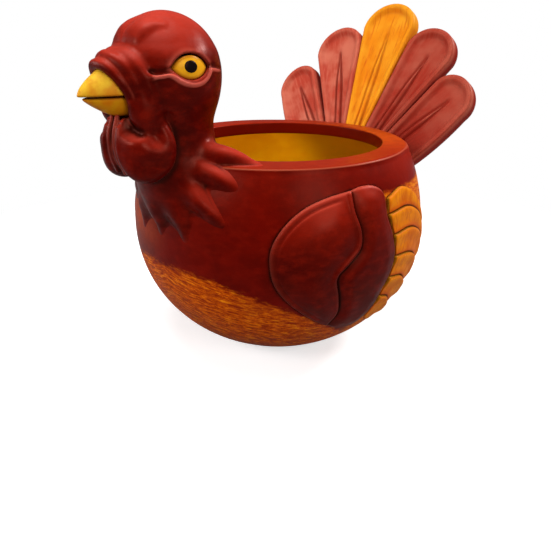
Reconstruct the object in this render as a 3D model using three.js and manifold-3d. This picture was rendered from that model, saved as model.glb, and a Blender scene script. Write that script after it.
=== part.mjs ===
// A cast resin turkey whose body is an open bowl. Millimetres, +Z up, the bird faces -Y.
// The origin is the centre of the flat foot. The bird's left side is +X.

import * as THREE from 'three';
import { mergeVertices } from 'three/addons/utils/BufferGeometryUtils.js';
import Module from 'manifold-3d';

const wasm = await Module();
wasm.setup();

// Glue line left between two neighbouring features
const glueLine = 0.3;
// How far a cutting shape runs past what it cuts
const overrun = 2;
// The height over which the body's slope is measured
const slopeSpan = 0.2;

// The round body, a superellipse of revolution about its widest ring, cut flat for its foot
const belly = {
  radius: 55,
  widestHeight: 47.5,
  belowFoot: 2.05,
  fullness: 2.16,
};
const rim = {
  height: 77.5,
  drawnIn: 7.8,
  width: 9.35,
  roundOver: 1.6,
};
const mouth = {
  setBack: 1.7,
  lipDepth: 4.5,
};
const wall = {
  thickness: 7,
  floor: 8,
};

// The head's centre stands above the rim, just in front of its outer edge
const head = { radius: 17, beyondRim: 1, aboveRim: 26.9 };

// Sections of the neck from inside the head down to its base on the breast, as shares of its height
// and of the head's radius. The base lies below the rim.
const neck = { baseBelowRim: 17.5 };
const neckSectionShares = [
  { rise: 1.036, setBack: 0.012, halfWidth: 0.794, halfDepth: 0.794 },
  { rise: 0.833, setBack: 0.035, halfWidth: 0.859, halfDepth: 0.859 },
  { rise: 0.653, setBack: 0.071, halfWidth: 0.788, halfDepth: 0.776 },
  { rise: 0.495, setBack: 0.094, halfWidth: 0.8, halfDepth: 0.8 },
  { rise: 0.315, setBack: 0.094, halfWidth: 0.882, halfDepth: 0.776 },
  { rise: 0.135, setBack: 0.071, halfWidth: 0.853, halfDepth: 0.659 },
  { rise: 0, setBack: 0.041, halfWidth: 0.647, halfDepth: 0.47 },
];

// The beak's halves meet at the mouth line. It is as long as it reaches from its root inside the head.
const beak = {
  mouthDrop: 5.5,
  standOut: 12.4,
  length: 21.6,
  halfWidth: 8,
  upperTall: 9.6,
  lowerTall: 6.2,
  rootRiseShare: 0.4,
};
const upperBeakSectionShares = [
  { along: 0, halfWidth: 1, tall: 0.99 },
  { along: 0.324, halfWidth: 0.963, tall: 1 },
  { along: 0.556, halfWidth: 0.8, tall: 0.854 },
  { along: 0.769, halfWidth: 0.55, tall: 0.594 },
  { along: 0.926, halfWidth: 0.288, tall: 0.302 },
];
const lowerBeakSectionShares = [
  { along: 0, halfWidth: 0.825, tall: 0.903 },
  { along: 0.324, halfWidth: 0.8, tall: 1 },
  { along: 0.556, halfWidth: 0.65, tall: 0.903 },
  { along: 0.75, halfWidth: 0.438, tall: 0.548 },
  { along: 0.898, halfWidth: 0.225, tall: 0.242 },
];

// The fleshy fold over the root of the beak, a thick roll bent from cheek to cheek
const snood = {
  thickness: 9.4,
  crestStandOut: 0.8,
  crestRise: 3,
  shoulderX: 6.8,
  shoulderStandOut: -1.8,
  shoulderRise: 0.2,
  footX: 8.2,
  footStandOut: -4.6,
  footDrop: 6.2,
};

// The two lobes that hang under the beak, and the lobe behind each corner of the mouth
const wattle = {
  x: 5.4,
  standOut: -3.7,
  drop: 20.6,
  halfWidth: 6.4,
  halfDepth: 7.3,
  halfHeight: 10.2,
  splay: 10,
};
const cheekLobe = { x: 8.2, standOut: -4, drop: 10.4, halfWidth: 5, halfDepth: 5.4, halfHeight: 6 };

const eye = { azimuth: 81, elevation: 7, halfLength: 5.2, halfHeight: 4, halfDepth: 2.4, sunk: 0.9 };
const pupil = { radius: 1.95, rise: 0.8 };

// The ruff's lappets, each from its root on the neck to its tip on the body
const lappet = {
  rootHalfWidth: 6.2,
  tipHalfWidth: 1.2,
  rootHalfDepth: 4.8,
  tipHalfDepth: 1.2,
  fullFromShare: 0.35,
  leastShare: 0.3,
  taperPower: 1.6,
};
// Shares of a lappet's length at which its sections stand
const lappetSectionShares = [0.02, 0.12, 0.35, 0.6, 0.82, 0.95];
// The ruff's lowest tip lies below the rim, and its roots stand off the body
const ruff = { drop: 23.3, standOff: 4.5 };
// Places of each lappet's root and tip: degrees round the body from the middle of the breast, then
// shares of the ruff's drop below the rim and of its stand-off from the body
const sideLappetShares = [
  {
    root: { azimuth: 13.57, drop: -0.15, lift: -0.544 },
    tip: { azimuth: 36.82, drop: -0.073, lift: -0.996 },
  },
  {
    root: { azimuth: 13.47, drop: 0.0215, lift: 0.416 },
    tip: { azimuth: 31.36, drop: 0.288, lift: -0.282 },
  },
  {
    root: { azimuth: 11.63, drop: 0.236, lift: 0.471 },
    tip: { azimuth: 26.47, drop: 0.717, lift: -0.038 },
  },
  {
    root: { azimuth: 6.86, drop: 0.365, lift: 0.716 },
    tip: { azimuth: 12.21, drop: 0.991, lift: 0.049 },
  },
];
const frontLappetShares = {
  root: { azimuth: 0, drop: 0.365, lift: 0.94 },
  tip: { azimuth: 0, drop: 1, lift: 0.056 },
};

// Each wing lies on the body's side, its middle turned from the middle of the breast by an azimuth
const wing = {
  azimuth: 68,
  halfSpan: 24,
  belowRim: 6.5,
  aboveFoot: 19,
  thickness: 3.4,
  edge: 1.2,
  creaseGap: 0.45,
};
// Shares of the half span, positive to the rear, and of the half height, positive up.
// The crease runs down the wing; the two outer edges join its ends in front and behind.
const wingCreaseShares = [
  [0.12, 0.97], [0.14, 0.74], [0.22, 0.5], [0.2, 0.28], [0.02, 0.1], [-0.12, -0.06], [-0.06, -0.34],
  [-0.02, -0.62], [-0.16, -0.86],
];
const wingFrontShares = [
  [0.12, 0.97], [-0.24, 0.92], [-0.58, 0.81], [-0.86, 0.6], [-1.02, 0.32], [-1.0, -0.02],
  [-0.86, -0.28], [-0.62, -0.52], [-0.36, -0.72], [-0.16, -0.86],
];
const wingRearShares = [
  [0.12, 0.97], [0.32, 1.02], [0.56, 1.0], [0.74, 0.9], [0.76, 0.62], [0.86, 0.38], [0.94, 0.08],
  [0.88, -0.22], [0.78, -0.42], [0.74, -0.66], [0.64, -0.88], [0.42, -1.02], [0.14, -0.98],
  [-0.16, -0.86],
];

// The yellow feathers fan out behind the wing. Each runs from the wing's rear edge to its tip.
const flightFeather = { thickness: 2, edge: 0.7, gap: 0.45 };
// Upper edges from the wing outwards, from the top feather down, in the wing's shares.
// The last edge is the lower edge of the lowest feather.
const flightEdgeShares = [
  [[0.84, 0.8], [1.12, 0.88], [1.42, 0.79], [1.68, 0.6], [1.86, 0.34]],
  [[0.83, 0.6], [1.2, 0.62], [1.52, 0.52], [1.78, 0.34], [1.96, 0.06]],
  [[0.93, 0.32], [1.24, 0.33], [1.56, 0.24], [1.84, 0.06], [1.98, -0.2]],
  [[0.99, 0.02], [1.26, -0.02], [1.54, -0.12], [1.78, -0.28], [1.9, -0.5]],
  [[0.92, -0.27], [1.18, -0.34], [1.4, -0.46], [1.6, -0.6], [1.68, -0.76]],
  [[0.82, -0.54], [1.0, -0.62], [1.16, -0.74], [1.3, -0.86], [1.36, -0.98]],
  [[0.7, -0.9], [0.78, -0.98], [0.88, -1.04], [0.98, -1.08], [1.08, -1.1]],
];

// The tail fans out from a point inside the rear wall, leaning back
const fan = {
  lean: 28,
  halfSplay: 9.9,
  thickness: 6.6,
  length: 82,
  rootRadius: 29.3,
  rootDepth: 9,
  widestShare: 0.87,
  middleShare: 0.7,
  dish: 1.1,
  border: 2.6,
  bevel: 1.5,
  swell: 6,
};
// Each feather's turn in the fan, its share of the fan's length, and its share of the swell. The
// outermost feathers swell at the root, one to the left and one to the right.
const tailFeatherShares = [
  { name: 'tail_feather_right_outer', angle: -40.1, length: 0.839, swell: -1 },
  { name: 'tail_feather_right_inner', angle: -19.8, length: 0.927, swell: 0 },
  { name: 'tail_feather_centre', angle: 0, length: 1, swell: 0 },
  { name: 'tail_feather_left_inner', angle: 19.8, length: 0.927, swell: 0 },
  { name: 'tail_feather_left_outer', angle: 40.1, length: 0.839, swell: 1 },
];

// How finely each round form is faceted
const segments = {
  bodyAround: 40,
  bodyBelow: 8,
  bodyAbove: 4,
  cavityBelow: 6,
  cavityAbove: 4,
  rimRound: 2,
  headAround: 22,
  headRings: 13,
  neckAround: 22,
  lobeAround: 14,
  lobeRings: 8,
  snood: 9,
  beakAround: 10,
  lappetAround: 10,
  petalSide: 4,
  petalTip: 5,
};
const wingDetail = {
  steps: 14,
  undersideShares: [0.25, 0.5, 0.75, 1],
  domeShares: [1, 0.93, 0.75, 0.35],
};
const featherDetail = {
  steps: 8,
  undersideShares: [0.5, 1],
  domeShares: [1, 0.75, 0.3],
};

// Colours
const paint = {
  scarlet: { color: 0x8e1a12, roughness: 0.42, metalness: 0 },
  maroon: { color: 0x651410, roughness: 0.42, metalness: 0 },
  amber: { color: 0xd68a16, roughness: 0.48, metalness: 0 },
  dustyRed: { color: 0x8c2a24, roughness: 0.5, metalness: 0 },
  black: { color: 0x16110f, roughness: 0.3, metalness: 0 },
};

const degrees = Math.PI / 180;

const turkey = new THREE.Group();
turkey.name = 'resin_turkey_bowl';

// Solids from closed triangle meshes, and back again

function solidFrom(geometry) {
  geometry.deleteAttribute('normal');
  geometry.deleteAttribute('uv');
  const merged = mergeVertices(geometry);
  const corners = merged.index.array;
  const triangles = [];
  for (let i = 0; i < corners.length; i += 3) {
    const [a, b, c] = corners.slice(i, i + 3);
    if (a !== b && b !== c && c !== a) triangles.push(a, b, c);
  }
  return new wasm.Manifold(new wasm.Mesh({
    numProp: 3,
    vertProperties: new Float32Array(merged.attributes.position.array),
    triVerts: new Uint32Array(triangles),
  }));
}

function geometryFrom(solid) {
  const mesh = solid.getMesh();
  const geometry = new THREE.BufferGeometry();
  geometry.setAttribute('position', new THREE.BufferAttribute(mesh.vertProperties, 3));
  geometry.setIndex(new THREE.BufferAttribute(mesh.triVerts, 1));
  return geometry;
}

// The largest piece of a solid that a cut has parted
function mainPiece(solid) {
  const pieces = solid.decompose();
  return pieces.reduce((best, piece) => (piece.volume() > best.volume() ? piece : best));
}

function cut(solid, ...cutters) {
  return mainPiece(cutters.reduce((rest, cutter) => rest.subtract(cutter), solid));
}

function addPiece(name, solid, finish) {
  const mesh = new THREE.Mesh(geometryFrom(solid), new THREE.MeshStandardMaterial(finish));
  mesh.name = name;
  turkey.add(mesh);
}

// Faces of the bands between rings of equal length
function bandFaces(ringCount, count) {
  const at = (ring, step) => ring * count + (step % count);
  const faces = [];
  for (let ring = 0; ring + 1 < ringCount; ring += 1) {
    for (let step = 0; step < count; step += 1) {
      faces.push(at(ring, step), at(ring, step + 1), at(ring + 1, step));
      faces.push(at(ring, step + 1), at(ring + 1, step + 1), at(ring + 1, step));
    }
  }
  return faces;
}

// A closed skin through rings, drawn to a pole at each end
function skin(firstPole, rings, lastPole) {
  const count = rings[0].length;
  const points = [...rings.flat(), firstPole, lastPole];
  const last = points.length - 1;
  const lastRing = (rings.length - 1) * count;
  const faces = bandFaces(rings.length, count);
  for (let step = 0; step < count; step += 1) {
    const next = (step + 1) % count;
    faces.push(last - 1, next, step);
    faces.push(last, lastRing + step, lastRing + next);
  }
  return solidFrom(facingOut(points, faces));
}

// A closed skin through rings that each run out along one line and back along another.
// The first and last ring are laced shut between the two lines.
function lacedSkin(rings) {
  const count = rings[0].length;
  const lastRing = (rings.length - 1) * count;
  const faces = bandFaces(rings.length, count);
  for (let step = 0; step + 1 < count / 2; step += 1) {
    const across = count - 1 - step;
    faces.push(step, across, step + 1, step + 1, across, across - 1);
    faces.push(lastRing + step, lastRing + step + 1, lastRing + across);
    faces.push(lastRing + step + 1, lastRing + across - 1, lastRing + across);
  }
  return solidFrom(facingOut(rings.flat(), faces));
}

// Turns the faces over where they enclose a negative volume
function facingOut(points, faces) {
  let volume = 0;
  for (let i = 0; i < faces.length; i += 3) {
    const [a, b, c] = [points[faces[i]], points[faces[i + 1]], points[faces[i + 2]]];
    volume += a.dot(new THREE.Vector3().crossVectors(b, c));
  }
  const outward = volume > 0 ? faces : faces.reverse();
  const geometry = new THREE.BufferGeometry().setFromPoints(points);
  geometry.setIndex(outward);
  return geometry;
}

// Points of a closed ring, one for each equal step of angle
function around(count, pointAt) {
  return Array.from({ length: count }, (_, step) => pointAt((2 * Math.PI * step) / count));
}

// An ellipsoid at a place, turned about the vertical by an angle
function ellipsoid(halfSizes, place, turn = 0) {
  const geometry = new THREE.SphereGeometry(1, segments.lobeAround, segments.lobeRings);
  geometry.scale(...halfSizes);
  geometry.rotateZ(turn);
  geometry.translate(...place);
  return solidFrom(geometry);
}

const lowerSemiAxis = belly.widestHeight + belly.belowFoot;
const rimRadius = belly.radius - rim.drawnIn;
const mouthRadius = rimRadius - rim.width;
const upperSemiAxis = (rim.height - belly.widestHeight)
  / Math.sqrt(1 - (rimRadius / belly.radius) ** belly.fullness);

// Radius of the body's outside at a height
function bodyRadius(height) {
  const rise = height - belly.widestHeight;
  const semiAxis = rise < 0 ? lowerSemiAxis : upperSemiAxis;
  return belly.radius * Math.max(0, 1 - (rise / semiAxis) ** 2) ** (1 / belly.fullness);
}

// A half profile of an egg about the widest ring, from a floor to a top height, as points of radius and
// height. Equal steps of angle put more points where the outline turns.
function eggProfile(radius, lowerAxis, upperAxis, floorHeight, topHeight, stepsBelow, stepsAbove) {
  const angleAt = (height, axis) => Math.asin((height - belly.widestHeight) / axis);
  const from = angleAt(floorHeight, lowerAxis);
  const to = angleAt(topHeight, upperAxis);
  const below = Array.from({ length: stepsBelow }, (_, i) => (from * (stepsBelow - i)) / stepsBelow);
  const above = Array.from({ length: stepsAbove + 1 }, (_, i) => (to * i) / stepsAbove);
  return [...below, ...above].map((angle) => new THREE.Vector2(
    radius * Math.max(0, Math.cos(angle)) ** (2 / belly.fullness),
    belly.widestHeight + (angle < 0 ? lowerAxis : upperAxis) * Math.sin(angle),
  ));
}

// A point over the body's side, lifted off the surface by a margin
function overBody(along, height, margin, side) {
  const rise = slopeSpan / 2;
  const slope = (bodyRadius(height + rise) - bodyRadius(height - rise)) / slopeSpan;
  const stretch = margin / Math.hypot(1, slope);
  const radius = bodyRadius(height) + stretch;
  const azimuth = along / belly.radius;
  return new THREE.Vector3(
    side * radius * Math.sin(azimuth),
    -radius * Math.cos(azimuth),
    height - slope * stretch,
  );
}

// A half profile turned about an upright axis that is set back by a distance
function turned(profile, setBack = 0) {
  const geometry = new THREE.LatheGeometry(profile, segments.bodyAround);
  geometry.rotateX(Math.PI / 2);
  geometry.translate(0, setBack, 0);
  return solidFrom(geometry);
}

// The rounded edge between an upright wall and a flat top, drawn in the direction away from the wall
function roundedEdge(wallRadius, topHeight, away) {
  return Array.from({ length: segments.rimRound }, (_, i) => {
    const angle = (Math.PI / 2) * ((i + 1) / segments.rimRound);
    return new THREE.Vector2(
      wallRadius + away * rim.roundOver * (1 - Math.cos(angle)),
      topHeight - rim.roundOver * (1 - Math.sin(angle)),
    );
  });
}

// The body's outside as a full solid, grown by a margin
function bodySolid(margin = 0) {
  const shoulder = rim.height - rim.roundOver;
  const side = eggProfile(
    belly.radius + margin,
    lowerSemiAxis + margin,
    upperSemiAxis + margin,
    -margin,
    shoulder,
    segments.bodyBelow,
    segments.bodyAbove,
  );
  const edge = side[side.length - 1].x;
  return turned([
    new THREE.Vector2(0, -margin),
    ...side,
    ...roundedEdge(edge, rim.height + margin, -1),
    new THREE.Vector2(0, rim.height + margin),
  ]);
}

// The space inside the bowl, with its lip, from the floor up through the mouth
function cavitySolid() {
  const lipBottom = rim.height - mouth.lipDepth;
  const widest = belly.radius - wall.thickness;
  const floorSemiAxis = belly.widestHeight - wall.floor;
  const lipSemiAxis = (lipBottom - belly.widestHeight)
    / Math.sqrt(1 - (mouthRadius / widest) ** belly.fullness);
  const side = eggProfile(
    widest,
    floorSemiAxis,
    lipSemiAxis,
    wall.floor,
    lipBottom,
    segments.cavityBelow,
    segments.cavityAbove,
  );
  side[0].x = 0;
  const profile = [
    ...side,
    new THREE.Vector2(mouthRadius, rim.height - rim.roundOver),
    ...roundedEdge(mouthRadius, rim.height, 1),
    new THREE.Vector2(mouthRadius + rim.roundOver, rim.height + overrun),
    new THREE.Vector2(0, rim.height + overrun),
  ];
  return turned(profile, mouth.setBack);
}

const bowl = bodySolid().subtract(cavitySolid());
const bodyKeepOut = bodySolid(glueLine);

// The head and neck stand on the front of the rim
const headPlace = { y: -(rimRadius + head.beyondRim), height: rim.height + head.aboveRim };

// A distance forward of the head's centre, given as how far it stands out from the head's front
function inFront(standOut) {
  return headPlace.y - head.radius - standOut;
}

function neckSolid(margin) {
  const base = rim.height - neck.baseBelowRim;
  const sections = neckSectionShares.map((share) => ({
    y: headPlace.y + share.setBack * head.radius,
    height: THREE.MathUtils.lerp(base, headPlace.height, share.rise),
    halfWidth: share.halfWidth * head.radius + margin,
    halfDepth: share.halfDepth * head.radius + margin,
  }));
  const middle = (section) => new THREE.Vector3(0, section.y, section.height);
  const rings = sections.map((section) => around(segments.neckAround, (angle) => new THREE.Vector3(
    section.halfWidth * Math.cos(angle),
    section.y + section.halfDepth * Math.sin(angle),
    section.height,
  )));
  return skin(middle(sections[0]), rings, middle(sections[sections.length - 1]));
}

function headSolid(margin = 0) {
  const skull = new THREE.SphereGeometry(head.radius + margin, segments.headAround, segments.headRings);
  skull.rotateX(Math.PI / 2);
  skull.translate(0, headPlace.y, headPlace.height);
  return solidFrom(skull).add(neckSolid(margin));
}

// The eyes sit in the sides of the head

function eyePlace(side) {
  const azimuth = eye.azimuth * degrees;
  const elevation = eye.elevation * degrees;
  const reach = head.radius - eye.sunk;
  return [
    side * reach * Math.sin(azimuth) * Math.cos(elevation),
    headPlace.y - reach * Math.cos(azimuth) * Math.cos(elevation),
    headPlace.height + reach * Math.sin(elevation),
  ];
}

// A bead set in the side of the head, its short axis pointing out
function eyeBead(side, halfDepth, halfLength, halfHeight) {
  const turn = side * (eye.azimuth - 90) * degrees;
  return ellipsoid([halfDepth, halfLength, halfHeight], eyePlace(side), turn);
}

function eyeSolid(side, margin = 0) {
  return eyeBead(side, eye.halfDepth + margin, eye.halfLength + margin, eye.halfHeight + margin);
}

function pupilSolid(side) {
  const bead = eyeBead(side, eye.halfDepth + pupil.rise, pupil.radius, pupil.radius);
  return cut(bead, eyeSolid(side, glueLine), headSolid(glueLine));
}

// The beak's two halves meet at the mouth line

function beakSolid(sectionShares, fullTall, upward, margin = 0) {
  const half = segments.beakAround;
  const base = headPlace.height - beak.mouthDrop + upward * (glueLine / 2 - margin);
  const rootStandOut = beak.standOut - beak.length;
  const rings = sectionShares.map((share) => Array.from({ length: half }, (_, step) => {
    const angle = (Math.PI * step) / (half - 1);
    return new THREE.Vector3(
      (share.halfWidth * beak.halfWidth + margin) * Math.cos(angle),
      inFront(rootStandOut + share.along * beak.length),
      base + upward * (share.tall * fullTall + 2 * margin) * Math.sin(angle),
    );
  }));
  const rootRise = upward * sectionShares[0].tall * fullTall * beak.rootRiseShare;
  const root = new THREE.Vector3(0, inFront(rootStandOut), base + rootRise);
  const tip = new THREE.Vector3(0, inFront(beak.standOut + margin), base + (upward * glueLine) / 2);
  return skin(root, rings, tip);
}

// The snood is a roll bent over the root of the beak

function snoodSolid(margin = 0) {
  const place = (x, standOut, rise) => new THREE.Vector3(x, inFront(standOut), headPlace.height + rise);
  const route = new THREE.CatmullRomCurve3([
    place(-snood.footX, snood.footStandOut, -snood.footDrop),
    place(-snood.shoulderX, snood.shoulderStandOut, snood.shoulderRise),
    place(0, snood.crestStandOut, snood.crestRise),
    place(snood.shoulderX, snood.shoulderStandOut, snood.shoulderRise),
    place(snood.footX, snood.footStandOut, -snood.footDrop),
  ]);
  const roll = new THREE.Shape().absarc(0, 0, snood.thickness / 2 + margin, 0, 2 * Math.PI);
  const geometry = new THREE.ExtrudeGeometry(roll, {
    steps: segments.snood,
    curveSegments: segments.snood,
    bevelEnabled: false,
    extrudePath: route,
  });
  return solidFrom(geometry);
}

function wattleSolid(side, margin = 0) {
  return ellipsoid(
    [wattle.halfWidth + margin, wattle.halfDepth + margin, wattle.halfHeight + margin],
    [side * wattle.x, inFront(wattle.standOut), headPlace.height - wattle.drop],
    side * -wattle.splay * degrees,
  );
}

// A thin slab on the middle plane, which parts the two wattles
function middleSlab() {
  const slab = new THREE.BoxGeometry(
    glueLine,
    2 * (wattle.halfDepth + overrun),
    2 * (wattle.halfHeight + overrun),
  );
  slab.translate(0, inFront(wattle.standOut), headPlace.height - wattle.drop);
  return solidFrom(slab);
}

function cheekSolid(side, margin = 0) {
  return ellipsoid(
    [cheekLobe.halfWidth + margin, cheekLobe.halfDepth + margin, cheekLobe.halfHeight + margin],
    [side * cheekLobe.x, inFront(cheekLobe.standOut), headPlace.height - cheekLobe.drop],
  );
}

// A lappet of the ruff lies from the neck out over the body. It swells from its root, then tapers.

function besideBody({ azimuth, drop, lift }, side) {
  const height = rim.height - drop * ruff.drop;
  const radius = bodyRadius(Math.min(height, rim.height)) + lift * ruff.standOff;
  const angle = side * azimuth * degrees;
  return new THREE.Vector3(radius * Math.sin(angle), -radius * Math.cos(angle), height);
}

function lappetSolid(placeShares, side, margin = 0) {
  const root = besideBody(placeShares.root, side);
  const tip = besideBody(placeShares.tip, side);
  const outward = new THREE.Vector3(tip.x, tip.y, 0).normalize();
  const along = new THREE.Vector3().subVectors(tip, root).normalize();
  const across = new THREE.Vector3().crossVectors(outward, along).normalize();
  const lift = new THREE.Vector3().crossVectors(along, across);
  const { lerp } = THREE.MathUtils;
  const rings = lappetSectionShares.map((share) => {
    const swell = Math.sqrt(1 - Math.max(0, 1 - share / lappet.fullFromShare) ** 2);
    const fullness = Math.max(swell, lappet.leastShare);
    const taper = share ** lappet.taperPower;
    const width = fullness * (lerp(lappet.rootHalfWidth, lappet.tipHalfWidth, taper) + margin);
    const depth = fullness * (lerp(lappet.rootHalfDepth, lappet.tipHalfDepth, share) + margin);
    const centre = root.clone().lerp(tip, share);
    return around(segments.lappetAround, (angle) => centre.clone()
      .addScaledVector(across, width * Math.cos(angle))
      .addScaledVector(lift, depth * Math.sin(angle)));
  });
  return skin(root, rings, tip);
}

// A relief on the body's side: a low pillow between two lines of distances round the body and heights.
// Inner rings draw in towards the middle line between the two.
function reliefOnBody([oneLine, otherLine], side, { thickness, edge }, { undersideShares, domeShares }) {
  const lastStep = oneLine.length - 1;
  const middles = oneLine.map((point, i) => point.clone().lerp(otherLine[i], 0.5));
  const drawnIn = (line, share) => line.map((point, i) => {
    const middle = middles[THREE.MathUtils.clamp(i, 1, lastStep - 1)];
    return middle.clone().lerp(point, share);
  });
  const ring = (share, lift) => [...drawnIn(oneLine, share), ...drawnIn(otherLine, share).reverse()]
    .map((place) => overBody(place.x, place.y, lift, side));
  const domeHeight = (share) => glueLine + edge + (thickness - edge) * Math.sqrt(1 - share ** 4);
  return lacedSkin([
    ...undersideShares.map((share) => ring(share, glueLine)),
    ...domeShares.map((share) => ring(share, domeHeight(share))),
  ]);
}

// Places given in the wing's shares, as distances round the body and heights on one smooth line,
// moved square to the line by an offset, to the left as it runs
function wingLine(shares, steps, offset = 0) {
  const top = rim.height - wing.belowRim;
  const middleHeight = (top + wing.aboveFoot) / 2;
  const places = shares.map(([span, height]) => new THREE.Vector2(
    wing.azimuth * degrees * belly.radius + span * wing.halfSpan,
    middleHeight + height * (top - middleHeight),
  ));
  const line = new THREE.SplineCurve(places);
  return Array.from({ length: steps + 1 }, (_, i) => {
    const tangent = line.getTangent(i / steps);
    const leftward = new THREE.Vector2(-tangent.y, tangent.x);
    return line.getPoint(i / steps).addScaledVector(leftward, offset);
  });
}

// A wing lobe lies between its outer edge and the crease, which end in the same two places.
// The crease runs down, so its left is the rear.
function lobeLines(edgeShares, creaseOffset) {
  return [
    wingLine(edgeShares, wingDetail.steps),
    wingLine(wingCreaseShares, wingDetail.steps, creaseOffset),
  ];
}

// A flight feather lies between its own upper edge and the next one's, a glue line apart
function flightFeatherLines(index) {
  return [
    wingLine(flightEdgeShares[index], featherDetail.steps),
    wingLine(flightEdgeShares[index + 1], featherDetail.steps, flightFeather.gap),
  ];
}

// A tail feather is a petal with a raised border round a dished face

function petalOutline(length, swell) {
  const widestRadius = fan.widestShare * length;
  const startRadius = fan.rootRadius - fan.rootDepth;
  const halfWidthAt = (radius) => radius * Math.tan(fan.halfSplay * degrees) - glueLine / 2;
  const widest = halfWidthAt(widestRadius);
  const half = (side) => {
    const points = [];
    for (let i = 0; i < segments.petalSide; i += 1) {
      const share = i / segments.petalSide;
      const radius = THREE.MathUtils.lerp(startRadius, widestRadius, share);
      const swollen = Math.max(0, side * swell) * (1 - share * share);
      points.push(new THREE.Vector2(side * (halfWidthAt(radius) + swollen), radius));
    }
    for (let i = 0; i < segments.petalTip; i += 1) {
      const angle = (Math.PI / 2) * (i / segments.petalTip);
      const radius = widestRadius + (length - widestRadius) * Math.sin(angle);
      points.push(new THREE.Vector2(side * widest * Math.cos(angle), radius));
    }
    return points;
  };
  return [...half(1), new THREE.Vector2(0, length), ...half(-1).reverse()];
}

function tailFeatherSolid({ angle, length: lengthShare, swell }) {
  const length = lengthShare * fan.length;
  const outline = petalOutline(length, swell * fan.swell);
  const middle = new THREE.Vector2(0, length * fan.middleShare);
  const placed = new THREE.Matrix4().makeRotationY(angle * degrees)
    .premultiply(new THREE.Matrix4().makeRotationX(-fan.lean * degrees))
    .setPosition(fanRoot());
  const inFan = (place, depth) => new THREE.Vector3(place.x, depth, place.y).applyMatrix4(placed);
  const ring = (inset, depth) => outline.map((point) => {
    const inward = middle.clone().sub(point).normalize();
    return inFan(point.clone().addScaledVector(inward, inset), depth);
  });
  const petal = skin(
    inFan(middle, fan.dish),
    [
      ring(fan.border + fan.dish, fan.dish),
      ring(fan.border, 0),
      ring(fan.bevel, 0),
      ring(0, fan.bevel),
      ring(0, fan.thickness - fan.bevel),
      ring(fan.bevel, fan.thickness),
    ],
    inFan(middle, fan.thickness),
  );
  return cut(petal, bodyKeepOut);
}

// The fan's face leaves the body at the rim's rear edge; its lines meet at a point inside the body
function fanRoot() {
  const reach = bodyRadius(rim.height);
  const below = fan.rootRadius;
  return new THREE.Vector3(
    0,
    reach - below * Math.sin(fan.lean * degrees),
    rim.height - below * Math.cos(fan.lean * degrees),
  );
}

// Assembly

addPiece('bowl_body', bowl, paint.maroon);

const neckKeepOut = headSolid(glueLine);
const upperBeak = (margin) => beakSolid(upperBeakSectionShares, beak.upperTall, 1, margin);
const lowerBeak = (margin) => beakSolid(lowerBeakSectionShares, beak.lowerTall, -1, margin);
const beakKeepOuts = [upperBeak(glueLine), lowerBeak(glueLine)];
const eyeKeepOuts = [1, -1].map((side) => eyeSolid(side, glueLine));

addPiece('head_and_neck', cut(headSolid(), bodyKeepOut, ...eyeKeepOuts), paint.scarlet);
addPiece('beak_upper', cut(upperBeak(0), neckKeepOut), paint.amber);
addPiece('beak_lower', cut(lowerBeak(0), neckKeepOut), paint.amber);
addPiece('snood', cut(snoodSolid(), neckKeepOut, ...beakKeepOuts), paint.scarlet);

for (const [sideName, side] of [['left', 1], ['right', -1]]) {
  addPiece(`eye_${sideName}`, eyeSolid(side), paint.amber);
  addPiece(`pupil_${sideName}`, pupilSolid(side), paint.black);
  const faceKeepOuts = [neckKeepOut, ...beakKeepOuts, snoodSolid(glueLine)];
  addPiece(`cheek_lobe_${sideName}`, cut(cheekSolid(side), ...faceKeepOuts), paint.scarlet);
  const wattleNeighbours = [...faceKeepOuts, cheekSolid(side, glueLine), bodyKeepOut, middleSlab()];
  addPiece(`wattle_${sideName}`, cut(wattleSolid(side), ...wattleNeighbours), paint.scarlet);
}

const frontLappet = cut(lappetSolid(frontLappetShares, 1), bodyKeepOut, neckKeepOut);
addPiece('ruff_lappet_front', frontLappet, paint.scarlet);
for (const [sideName, side] of [['left', 1], ['right', -1]]) {
  const placed = [lappetSolid(frontLappetShares, 1, glueLine)];
  for (let i = sideLappetShares.length - 1; i >= 0; i -= 1) {
    const solid = cut(lappetSolid(sideLappetShares[i], side), bodyKeepOut, neckKeepOut, ...placed);
    addPiece(`ruff_lappet_${sideName}_${i + 1}`, solid, paint.scarlet);
    placed.push(lappetSolid(sideLappetShares[i], side, glueLine));
  }
}

for (const [sideName, side] of [['left', 1], ['right', -1]]) {
  const frontLines = lobeLines(wingFrontShares, -wing.creaseGap / 2);
  const rearLines = lobeLines(wingRearShares, wing.creaseGap / 2);
  addPiece(`wing_front_${sideName}`, reliefOnBody(frontLines, side, wing, wingDetail), paint.maroon);
  addPiece(`wing_rear_${sideName}`, reliefOnBody(rearLines, side, wing, wingDetail), paint.maroon);
  for (let i = 0; i + 1 < flightEdgeShares.length; i += 1) {
    const feather = reliefOnBody(flightFeatherLines(i), side, flightFeather, featherDetail);
    addPiece(`flight_feather_${sideName}_${i + 1}`, feather, paint.amber);
  }
}

for (const feather of tailFeatherShares) {
  const finish = feather.angle === 0 ? paint.amber : paint.dustyRed;
  addPiece(feather.name, tailFeatherSolid(feather), finish);
}

export default turkey;
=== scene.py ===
# A cast resin turkey whose body is an open bowl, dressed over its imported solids.
# Sizes are in millimetres of the part. The bird faces -Y, and its left side is +X.

import math

import bpy
import numpy as np
from mathutils import Matrix, Vector


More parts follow.
